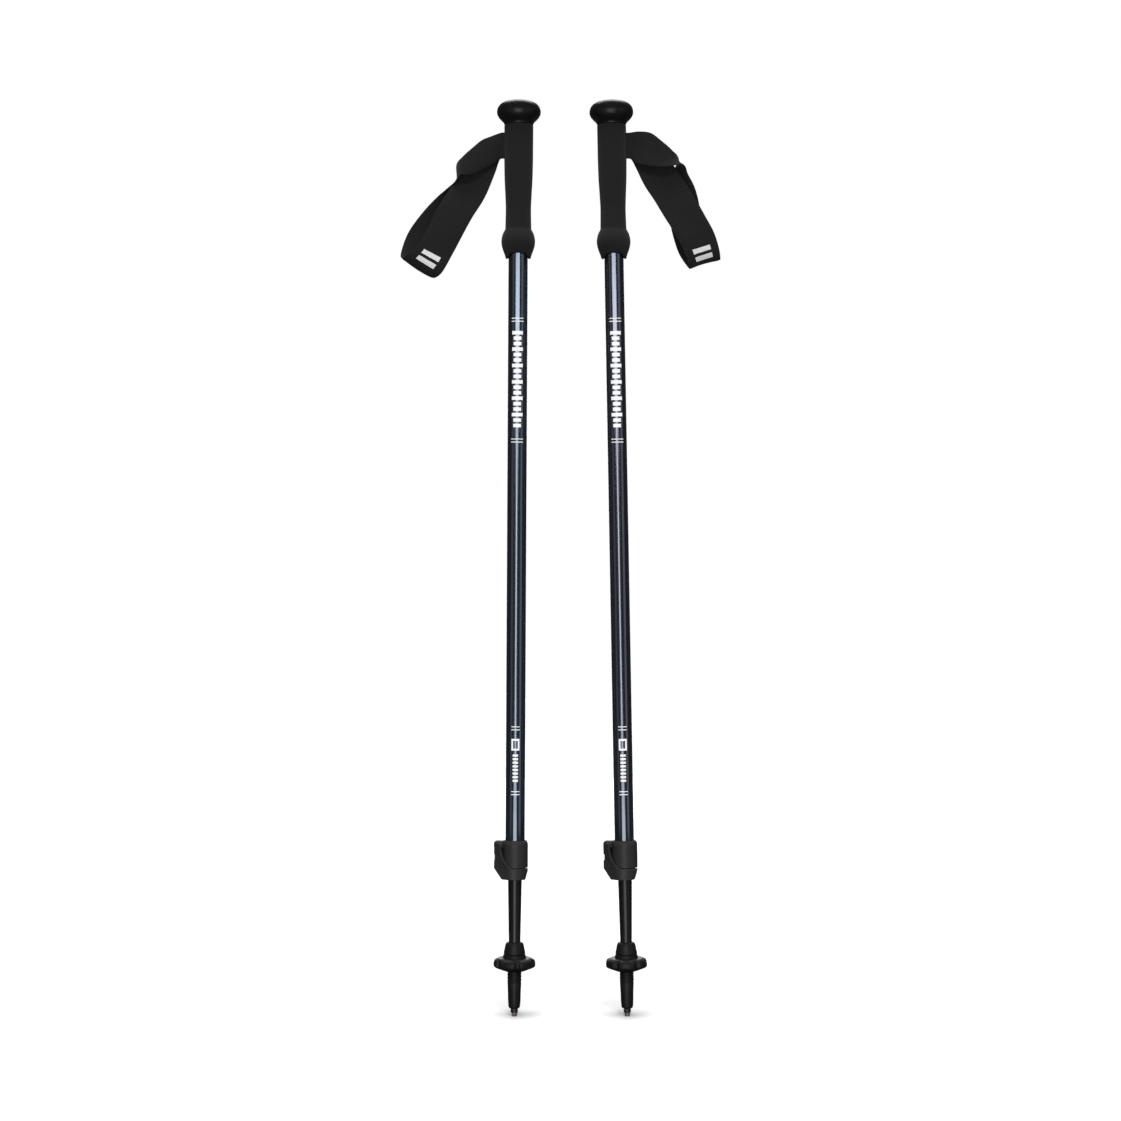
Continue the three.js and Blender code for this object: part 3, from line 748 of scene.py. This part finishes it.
def clamp_collar(side, place):
    """Collar and narrower neck, with the lever's two ears, and two lugs at the back for the screw."""
    profile = [(0, NECK_BOTTOM), (NECK_RADIUS, NECK_BOTTOM), (NECK_RADIUS, COLLAR_BOTTOM),
               (COLLAR_RADIUS, COLLAR_BOTTOM), (COLLAR_RADIUS, 176.8), (12.9, 178.8), (12.2, 180.2),
               (11.5, COLLAR_TOP), (0, COLLAR_TOP)]
    slope = [(-10.2, 141.9), (-13.4, 141.9), (-21, 152), (-21, LOW_EAR_TOP), (-10.2, LOW_EAR_TOP)]
    obj = combine(
        turned("body", profile, Matrix.Identity(4)), "UNION",
        ear(EAR_RADIUS, EAR_RADIUS, EAR_BOTTOM, EAR_TOP, rounded_ear()),
        ear(LOW_EAR_RADIUS, 3, NECK_BOTTOM, LOW_EAR_TOP, slope),
        plan_solid("lugs", rectangle(-21.4, -7, 5.5, 11.6), 157, 173.2),
    )
    combine(
        obj, "DIFFERENCE",
        upright(10.2, 155.4, COLLAR_TOP + THROUGH),
        upright(9.1, NECK_BOTTOM - THROUGH, 156),
        plan_solid("slit", rectangle(-25, -4, *SLIT), NECK_BOTTOM - THROUGH, COLLAR_TOP + THROUGH),
        upright(PIN_HOLE, NECK_BOTTOM - THROUGH, COLLAR_TOP + THROUGH, HINGE),
        screw_rod(2.0, 4, 13),
    )
    moulded(obj)
    obj.name = f"{side}_collar_moulding"
    obj.data.transform(place)
    return dress(obj, "clamp", "root", "clamp_plastic", f"{side}_clamp_collar")


LEVER_BOTTOM, LEVER_TOP = NECK_BOTTOM - 0.1, 178.4
LEVER_CENTRE, LEVER_RADIUS = -0.9, 14.7     # the arc of its outside, with its centre on the X axis
LEVER_TANGENT = math.radians(112)           # where the arc ends and the straight side starts
LEVER_BACK = -0.8
KNUCKLE_RADIUS = 4.0
SLOT_HALF_HEIGHT = 3.2                      # half the height of the knuckle's slot for the screw's eye
GAP = 0.3                                   # above and below the knuckle
LEVER_SIDE = (HINGE[0] - KNUCKLE_RADIUS, -3.2)

# In plan, the way that the screw's eye and shank take through the lever as it opens.
SCREW_SWEEP = [HINGE, (-22.1, -6.6), (-26, -6.6), (-26, 6), (-10, 6), (-10, 0)]

# The lever's raised front edge, from the bottom up: (x, height). A facet falls from it to the side.
LEVER_EDGE = [(-6.2, 139), (-6.2, 150.4), (-7, 152.6), (-9.2, 156.2), (-11.3, 159.2), (-13.6, 163),
              (-14.8, 167), (-15.7, 172), (-16.6, 180)]

# The lever's edge over the collar in front view, from its lower corner up to its top.
SWOOP = [(10.8, LEVER_BOTTOM), (13.4, 150.6), (13.4, 152.6), (-2.5, 152.6), (-5.2, 153.7), (-7.5, 156.2),
         (-9.6, 159.2), (-11.5, 162.5), (-12.7, 166), (-13.6, 170), (-14.1, 174), (-14.3, LEVER_TOP)]


def lever_front(x):
    """Depth of the lever's outside: an arc round the collar, then the straight line that touches it."""
    touch_x = LEVER_CENTRE + LEVER_RADIUS * math.cos(LEVER_TANGENT)
    if x < touch_x:
        touch_y = -LEVER_RADIUS * math.sin(LEVER_TANGENT)
        return touch_y + (touch_x - x) * math.tan(LEVER_TANGENT - math.pi / 2)
    return -math.sqrt(LEVER_RADIUS ** 2 - (x - LEVER_CENTRE) ** 2)


def lever_plan():
    """The lever's outline in plan."""
    arc = np.linspace(math.radians(-4), -LEVER_TANGENT, 60)
    outline = [(LEVER_CENTRE + LEVER_RADIUS * math.cos(a), LEVER_RADIUS * math.sin(a)) for a in arc]
    return [(0, LEVER_BACK), *outline, (-18, lever_front(-18)), LEVER_SIDE, (LEVER_SIDE[0], LEVER_BACK)]


def outside_facet():
    """Everything in front of the facet, as one lofted block."""
    far = -27
    edge_x, edge_z = zip(*LEVER_EDGE)
    points, faces = [], []
    for z in spaced(edge_z[0], edge_z[-1], 0.8):
        x = float(smooth_interp(z, edge_z, edge_x))
        y = lever_front(x)
        slope = (LEVER_SIDE[1] - y) / (LEVER_SIDE[0] - x)
        points += [(x, y, z), (x, far, z), (far, far, z), (far, y + slope * (far - x), z)]
    last = len(points) - 4
    faces.append((3, 2, 1, 0))
    faces.append((last, last + 1, last + 2, last + 3))
    for i in range(0, last, 4):
        for k in range(4):
            n = (k + 1) % 4
            faces.append((i + k, i + n, i + n + 4))
            faces.append((i + k, i + n + 4, i + k + 4))
    obj = new_object("facet", points, faces)
    fix_normals(obj)
    return obj


def clamp_lever(side, place):
    """Cam lever: an arm that wraps the collar and a knuckle between its two ears."""
    knuckle_bottom, knuckle_top = LOW_EAR_TOP + GAP, EAR_BOTTOM - GAP
    below, above = LEVER_BOTTOM - THROUGH, LEVER_TOP + THROUGH
    slot_low, slot_high = SCREW_Z - SLOT_HALF_HEIGHT, SCREW_Z + SLOT_HALF_HEIGHT
    corner = [(-24, LEVER_TOP), (-24, 153.6), (-21.4, 152.2), (-13.6, LEVER_BOTTOM)]
    front_view = front_solid("front view", corner + filleted(SWOOP, 0.8, 3), -30, 10)
    obj = combine(plan_solid("arm", lever_plan(), LEVER_BOTTOM, LEVER_TOP), "INTERSECT", front_view)
    combine(obj, "DIFFERENCE", outside_facet())
    combine(obj, "UNION", upright(KNUCKLE_RADIUS, knuckle_bottom, knuckle_top, HINGE))
    combine(
        obj, "DIFFERENCE",
        upright(COLLAR_RADIUS + 0.5, COLLAR_BOTTOM - 0.4, above),
        upright(NECK_RADIUS + 0.5, below, COLLAR_BOTTOM + 0.5),
        upright(EAR_RADIUS + 0.4, knuckle_top, above, HINGE),
        plan_solid("gap", rectangle(HINGE[0], -10, -4.8, 1), knuckle_top, above),
        upright(LOW_EAR_RADIUS + 0.4, below, knuckle_bottom, HINGE),
        plan_solid("gap", rectangle(HINGE[0], -8, -3.4, 1), below, knuckle_bottom),
        upright(KNUCKLE_RADIUS, slot_low, slot_high, HINGE),
        plan_solid("screw sweep", SCREW_SWEEP, slot_low, slot_high),
        upright(PIN_HOLE, below, above, HINGE),
    )
    moulded(obj)
    obj.name = f"{side}_lever_moulding"
    obj.data.transform(place)
    return dress(obj, "clamp", f"{side}_lever_body", "clamp_plastic", f"{side}_clamp_lever")


def clamp_nut(side, place):
    """Knurled thumb nut with a chamfered rim."""
    profile = [(1.9, 0), (3.6, 0), (4.05, 0.45), (4.05, 2.9), (3.6, 3.4), (1.9, 3.4)]

    def knurl(grid):
        radius, angle = polar(grid)
        return scaled_out(grid, 1 - 0.05 * (radius > 3.2) * (0.5 + 0.5 * np.cos(NUT_RIDGES * angle)))

    behind_lugs = Matrix.Translation(Vector((HINGE[0], NUT_FACE, SCREW_Z)) * MM)
    on_screw = behind_lugs @ Matrix.Rotation(math.radians(-90), 4, "X")
    rounded = filleted(profile, 0.25, closed=True)
    obj = turned(f"{side}_thumb_nut", rounded, place @ on_screw, 120, ring=True, shape=knurl)
    return dress(obj, "steel", f"{side}_nut_body", "steel", f"{side}_clamp_nut")


# ---------- grip ----------

FOAM_TOP, FOAM_BOTTOM, ARCH = 917.65, 777.0, 8.0
FOAM_BORE, CORE_BORE = 10.25, 11.9      # round the tube, and above it round the grip's core
SLOT_LOW, SLOT_HIGH, SLOT_HALF = 882.2, 909.8, 3.7

# Outside of the foam sleeve, (radius, height): bulge at the bottom, waist, then a slow swell to the top.
FOAM_OUTSIDE = [
    (12.1, 777), (12.8, 780), (14.0, 784), (15.8, 789), (17.0, 793.5), (17.38, 797.5), (17.2, 799.8),
    (16.4, 803.8), (15.2, 806.8), (14.2, 808.6), (13.6, 809.6), (13.4, 811), (13.2, 819), (13.0, 830),
    (13.6, 846), (14.45, 863), (14.85, 886), (14.9, 917.6),
]


def foam_radius(z):
    radii, heights = zip(*FOAM_OUTSIDE)
    return smooth_interp(z, heights, radii)


def smooth_interp(x, xs, ys):
    """Monotone cubic through the points."""
    xs, ys = np.array(xs, float), np.array(ys, float)
    step = np.diff(xs)
    slope = np.diff(ys) / step
    tangent = np.zeros(len(xs))
    inner = slope[:-1] * slope[1:] > 0
    mean = 2 * slope[:-1] * slope[1:] / np.where(inner, slope[:-1] + slope[1:], 1)
    tangent[1:-1] = np.where(inner, mean, 0)
    tangent[0], tangent[-1] = slope[0], slope[-1]
    i = np.clip(np.searchsorted(xs, x) - 1, 0, len(xs) - 2)
    t = (x - xs[i]) / step[i]
    h = step[i]
    return (ys[i] * (1 + 2 * t) * (1 - t) ** 2 + tangent[i] * h * t * (1 - t) ** 2
            + ys[i + 1] * t * t * (3 - 2 * t) + tangent[i + 1] * h * t * t * (t - 1))


def foam_rim(x):
    """Height of the lower rim, which is arched over the tube at the front and back."""
    share = np.clip(np.abs(x) / 12.6, 0, 1)
    return FOAM_BOTTOM + ARCH * (1 - share ** 5.5) ** 0.7


def grip_foam(side, place):
    """Foam sleeve with an arched lower rim and the webbing's slot. Its rows flatten out above the arch."""
    outward = SIDES[side]
    segments = 160
    angles = np.linspace(0, 2 * math.pi, segments, endpoint=False)
    dense = np.linspace(0, 1, 60) ** 1.15 * 52
    levels = np.concatenate([dense, np.linspace(53.5, 138.9, 54), [139.9, 140.5]])
    rows = []
    for level in levels:
        z = FOAM_BOTTOM + level
        settle = np.clip(1 - level / 26, 0, 1)
        height = np.full(segments, z)
        for _ in range(3):
            radius = foam_radius(height)
            height = z + (foam_rim(radius * np.cos(angles)) - FOAM_BOTTOM) * settle
        radius = foam_radius(height) - 0.35 * (level < 0.01) - 0.5 * (level > 140)
        rows.append(np.stack([radius * np.cos(angles), radius * np.sin(angles), height], -1))
    rim = rows[0][:, 2]
    inside = [(CORE_BORE, rim * 0 + FOAM_TOP), (CORE_BORE, rim * 0 + UPPER_TOP + 0.6),
              (FOAM_BORE, rim * 0 + UPPER_TOP), (FOAM_BORE, rim + 0.5), (FOAM_BORE + 0.45, rim)]
    for radius, height in inside:
        rows.append(np.stack([radius * np.cos(angles), radius * np.sin(angles), height], -1))
    grid = np.array(rows)
    count = len(grid)
    faces = []
    for i in range(count):
        below, above = i * segments, ((i + 1) % count) * segments
        for k in range(segments):
            n = (k + 1) % segments
            faces.append((below + k, below + n, above + n, above + k))
    obj = new_object(f"{side}_foam_sleeve", grid.reshape(-1, 3), faces)
    fix_normals(obj)
    reach = sorted((outward * 5.0, outward * 22.0))
    slot = plan_solid("slot", rectangle(*reach, -SLOT_HALF, SLOT_HALF), SLOT_LOW, SLOT_HIGH)
    combine(obj, "DIFFERENCE", slot)
    obj.data.transform(place)
    smooth(obj, 45)
    dress(obj, "foam", "root", "grip_foam", f"{side}_grip_foam")
    return obj


def knob(side, place):
    """Low domed cap with a socket under it for the grip's core."""
    socket = [(0, 927.3), (6.3, 927.3), (6.3, 917.8)]
    flare = [(15.1, 917.8), (15.3, 919), (16.2, 920.3), (17.8, 921.8), (19.6, 923.6), (21.4, 926)]
    dome = [(22.5, 928.8), (22.6, 931), (22.2, 933.8), (21, 936.4), (18.8, 938.8), (15.5, 940.7), (11, 941.9),
            (6, 942.4), (2, 942.5), (0, 942.5)]
    profile = socket + flare + dome
    obj = turned(f"{side}_grip_knob", filleted(profile, 1.4, 5), place, 128)
    return dress(obj, "knob", "root", "knob_plastic", f"{side}_knob")


# ---------- wrist strap ----------

# Places along the webbing: reach from the pole, depth and height of the edge that starts on top,
# then of the edge that starts below. They are the CAD loop's own, with its inner end added.
STRAP_ROWS = {
    "left": [
        (18.4, -2.45, 909, 18.4, -2.45, 883),
        (28, -5, 905, 24.5, -5, 877.3),
        (38, -9, 900, 34.5, -9, 871.5),
        (47.5, -12, 891.5, 44, -13, 866),
        (57, -10, 883, 53.5, -15, 863.5),
        (63.5, 1, 876, 59, -15, 863.8),
        (60, 14, 862, 64.5, -9, 857.6),
        (59, 15.5, 842, 75, 0, 850.2),
        (61.5, 12.5, 822, 84.5, 6, 843.5),
        (72.6, 11, 808, 98.5, 9, 829),
        (83, 10, 792, 113, 9, 809),
        (87, 7.5, 773, 120.3, 7, 790),
        (88.5, 1, 760.5, 120.4, 1, 780.5),
        (79, -6, 763.4, 112.4, -6, 784),
        (66.6, -8, 784.3, 98.6, -8, 799.2),
        (49.2, -8, 817.3, 82, -8, 832.2),
        (34.6, -4, 842, 66, -4, 857.5),
        (24.6, -1, 866.7, 50, -1, 884),
        (20.5, 1.5, 879.5, 32, 1.5, 902),
        (18.4, 2.45, 883, 18.4, 2.45, 909),
    ],
    "right": [
        (18.4, -2.45, 909, 18.4, -2.45, 883),
        (28, -5, 909.5, 24.5, -5, 877.5),
        (40, -9, 907, 33, -9, 874.5),
        (51, -12, 898, 45, -13, 872),
        (61, -10, 889, 57, -15, 871.5),
        (68, 0, 880.5, 72, -11, 873.5),
        (60, 12, 864, 77.5, -3.5, 865),
        (57.5, 13.5, 847, 83.8, -0.5, 853.5),
        (57, 13, 831, 87.4, 3, 842.5),
        (59, 11.5, 817, 90.5, 7.5, 829.5),
        (62.5, 10, 801, 95, 8.5, 811),
        (68, 8, 784, 100, 8, 793),
        (77.5, 1, 768.6, 108.6, 1, 777.5),
        (76, -5.5, 776, 108.4, -5.5, 786),
        (68, -8, 794, 103, -8, 804),
        (59.6, -8, 809, 94, -8, 821.5),
        (51.8, -7, 822, 84, -7, 840),
        (42.8, -5, 838, 74, -5, 857),
        (32.6, -3, 854.5, 63, -4, 874),
        (25.2, 0, 871, 50, 0, 892),
        (21, 1.5, 880, 33, 1.5, 905),
        (18.4, 2.45, 883, 18.4, 2.45, 909),
    ],
}
STRAP_THICKNESS = 1.8
STRIPES = {"left": (90.3, 777), "right": (92.5, 784)}      # reach and height of the printed stripes' middle
PLAIN_SIDE = 100                                           # added to the UV across on the unprinted side


def through(points, steps):
    """Points on a smooth curve through the given ones, with steps of them in each stretch."""
    points = np.array(points, float)
    padded = np.vstack([2 * points[0] - points[1], points, 2 * points[-1] - points[-2]])
    out = []
    for i in range(1, len(padded) - 2):
        a, b, c, d = padded[i - 1:i + 3]
        for t in np.arange(steps) / steps:
            out.append(0.5 * (2 * b + (c - a) * t + (2 * a - 5 * b + 4 * c - d) * t * t
                              + (3 * b - a - 3 * c + d) * t ** 3))
    out.append(points[-1])
    return np.array(out)


def strap_edges(side):
    """Both edges of the webbing, from inside the slot, round the loop and back."""
    outward = SIDES[side]
    rows = STRAP_ROWS[side]
    first = [(7, -2.3, 909, 7, -2.3, 883), (13, -2.4, 909, 13, -2.4, 883)]
    last = [(13, 2.4, 883, 13, 2.4, 909), (7, 2.3, 883, 7, 2.3, 909)]
    table = np.array([*first, *rows, *last], float)
    table[:, [0, 3]] *= outward
    return through(table[:, :3], 14), through(table[:, 3:], 14)


def strap(side, place):
    """Thick ribbon with rounded selvedges. UVs are millimetres across and along the webbing."""
    a, b = strap_edges(side)
    count = len(a)
    middle = (a + b) / 2
    along = np.gradient(middle, axis=0)
    length = np.concatenate([[0], np.cumsum(np.linalg.norm(np.diff(middle, axis=0), axis=1))])
    normal = np.cross(along, b - a)
    normal /= np.linalg.norm(normal, axis=1)[:, None]
    columns = 15
    across = np.linspace(0, 1, columns)
    edge_fall = np.clip(1 - np.abs(across - 0.5) * 2, 0, 1)
    half = STRAP_THICKNESS / 2 * np.minimum(1, 0.55 + 6 * edge_fall)
    cup = 0.9 * (1 - (2 * across - 1) ** 2)
    fade = np.clip(length / 20, 0, 1) * np.clip((length[-1] - length) / 20, 0, 1)
    ripple = 0.25 * np.sin(length / 9.0)[:, None] * np.sin(across * 5)[None, :]
    sheets = []
    for face in (1, -1):
        offset = face * half[None, :] + fade[:, None] * (cup[None, :] + ripple)
        points = a[:, None, :] * (1 - across)[None, :, None] + b[:, None, :] * across[None, :, None]
        sheets.append(points + normal[:, None, :] * offset[..., None])
    ring = np.concatenate([sheets[0], sheets[1][:, ::-1]], axis=1)
    around = ring.shape[1]
    faces = []
    for i in range(count - 1):
        for k in range(around):
            n = (k + 1) % around
            faces.append((i * around + k, i * around + n, (i + 1) * around + n, (i + 1) * around + k))
    faces.append(tuple(range(around)))
    faces.append(tuple((count - 1) * around + k for k in reversed(range(around))))
    obj = new_object(f"{side}_wrist_strap", ring.reshape(-1, 3), faces)
    reach, height = STRIPES[side]
    away = np.hypot(middle[:, 0] * SIDES[side] - reach, middle[:, 2] - height) + 1000 * (middle[:, 1] > 0)
    printed = int(np.argmin(away))
    plain = PLAIN_SIDE * (np.arange(around) >= columns)
    if normal[printed][1] > 0:
        plain = PLAIN_SIDE - plain
    shares = np.concatenate([across, across[::-1]]) * STRAP_WIDTH + plain
    uv = obj.data.uv_layers.new(name="webbing")
    for loop in obj.data.loops:
        row, column = divmod(loop.vertex_index, around)
        uv.data[loop.index].uv = (shares[column], length[row] - length[printed])
    bm = bmesh.new()
    bm.from_mesh(obj.data)
    bmesh.ops.recalc_face_normals(bm, faces=bm.faces)
    bm.to_mesh(obj.data)
    bm.free()
    obj.data.transform(place)
    smooth(obj, 60)
    dress(obj, "webbing", None, "webbing", f"{side}_strap", f"{side}_strap_inner")
    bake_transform(obj)
    return obj


# ---------- the CAD nodes that stay ----------

KEPT = {
    "grip_core": "inner", "strap_pin": "steel", "strap_wedge": "inner", "lever_pin": "steel",
    "clamp_screw": "steel", "shaft_bushing": "inner", "shaft_guide": "inner",
}


def dress_kept_nodes(side):
    for node, material in KEPT.items():
        obj = NODES[f"{side}_{node}"]
        obj.data.materials.clear()
        obj.data.materials.append(FINISH[material])


# ---------- stage ----------

def stage():
    floor = plan_solid("floor", disc(6000, segments=96), -0.25, -0.2)
    floor.data.materials.append(floor_material())
    floor.visible_glossy = False
    floor.visible_diffuse = False
    floor.visible_shadow = False


def floor_material():
    n = Nodes("pale_floor", shade(0.53), 0.9)
    n.set(Specular_IOR_Level=0.1)
    mottle = n.noise(n.mapped(), 3, 3)
    n.colour(n.mix(n.remap(mottle, 0, 1), shade(0.52), shade(0.55)))
    return n.material


def panel(name, azimuth, distance, height, size, radiance, tint=(1, 1, 1)):
    """A soft box that stands round the pair and faces it. Azimuth 0 is the camera's side."""
    turn = math.radians(azimuth)
    place = Vector((distance * math.sin(turn), -distance * math.cos(turn), height))
    data = bpy.data.lights.new(name, "AREA")
    data.shape = "RECTANGLE"
    data.size, data.size_y = size
    data.energy = radiance * math.pi * size[0] * size[1]
    data.color = tint
    obj = bpy.data.objects.new(name, data)
    obj.location = place
    obj.rotation_euler = (Vector((0, 0, 0.5)) - place).to_track_quat("-Z", "Y").to_euler()
    obj.visible_camera = False
    bpy.context.scene.collection.objects.link(obj)


def sun(name, strength, azimuth, elevation, softness):
    """A distant light that draws the shadows on the floor, and is never mirrored."""
    data = bpy.data.lights.new(name, "SUN")
    data.energy = strength
    data.angle = math.radians(softness)
    obj = bpy.data.objects.new(name, data)
    obj.rotation_euler = (math.radians(90 - elevation), 0, math.radians(azimuth))
    obj.visible_glossy = False
    bpy.context.scene.collection.objects.link(obj)


def world():
    """White behind the pair, pale grey as fill, and dark where gloss would mirror it."""
    made = bpy.data.worlds.new("studio")
    bpy.context.scene.world = made
    made.use_nodes = True
    tree = made.node_tree
    background = tree.nodes["Background"]
    path = tree.nodes.new("ShaderNodeLightPath")
    seen, mirrored = (tree.nodes.new("ShaderNodeMix") for _ in range(2))
    for mix in (seen, mirrored):
        mix.data_type = "RGBA"
    mirrored.inputs["A"].default_value = (0.32, 0.32, 0.32, 1)
    mirrored.inputs["B"].default_value = (0.05, 0.05, 0.055, 1)
    seen.inputs["B"].default_value = (1, 1, 1, 1)
    tree.links.new(path.outputs["Is Glossy Ray"], mirrored.inputs["Factor"])
    tree.links.new(mirrored.outputs["Result"], seen.inputs["A"])
    tree.links.new(path.outputs["Is Camera Ray"], seen.inputs["Factor"])
    tree.links.new(seen.outputs["Result"], background.inputs["Color"])


def lights():
    """Three stacked soft boxes in front draw the tubes' highlight, wide, then thin, then wide again."""
    bpy.context.scene.view_settings.view_transform = "Standard"
    cool = (0.975, 0.985, 1)
    panel("key_high", -3, 2.6, 1.0, (2.2, 0.36), 3.2, cool)
    panel("key_middle", -3, 2.6, 0.42, (0.6, 0.8), 2.6, cool)
    panel("key_low", -3, 2.6, -0.46, (1.8, 0.96), 2.0, cool)
    panel("right_fill", 54, 2.6, 0.6, (1.2, 2.2), 0.3)
    panel("left_fill", -54, 2.6, 0.6, (1.2, 2.2), 0.14)
    panel("back", 180, 2.6, 0.6, (1.2, 2.4), 2.2, cool)
    panel("overhead", 180, 1.5, 2.6, (1.6, 0.9), 3.5)
    sun("front_sun", 1.7, 7, 38, 12)
    sun("top_sun", 4.6, -14, 80, 44)


def camera():
    distance, height, shown = 2.4, 0.469, 1.1546
    data = bpy.data.cameras.new("camera")
    data.sensor_width = 36
    data.lens = 36 * distance / shown
    obj = bpy.data.objects.new("camera", data)
    obj.location = (0, -distance, height)
    obj.rotation_euler = (math.radians(90), 0, 0)
    bpy.context.scene.collection.objects.link(obj)
    bpy.context.scene.camera = obj


# ---------- the pair ----------

FIRST_NOTCH = {"left": 39.5, "right": 0.0}
FINISH = finishes()

camera()
stage()
world()
lights()

for pole_side in SIDES:
    pole_place = pole_matrix(pole_side)
    clamp_place = clamp_matrix(pole_side)
    carbide_tip(pole_side, pole_place)
    tip_holder(pole_side, pole_place)
    tip_body(pole_side, pole_place)
    tip_collar(pole_side, pole_place)
    basket(pole_side, pole_place, FIRST_NOTCH[pole_side])
    lower_shaft(pole_side, pole_place)
    upper_shaft(pole_side, clamp_place)
    tube_print(pole_side, pole_place)
    clamp_collar(pole_side, clamp_place)
    clamp_lever(pole_side, clamp_place)
    clamp_nut(pole_side, clamp_place)
    grip_foam(pole_side, pole_place)
    knob(pole_side, pole_place)
    strap(pole_side, pole_place)
    dress_kept_nodes(pole_side)
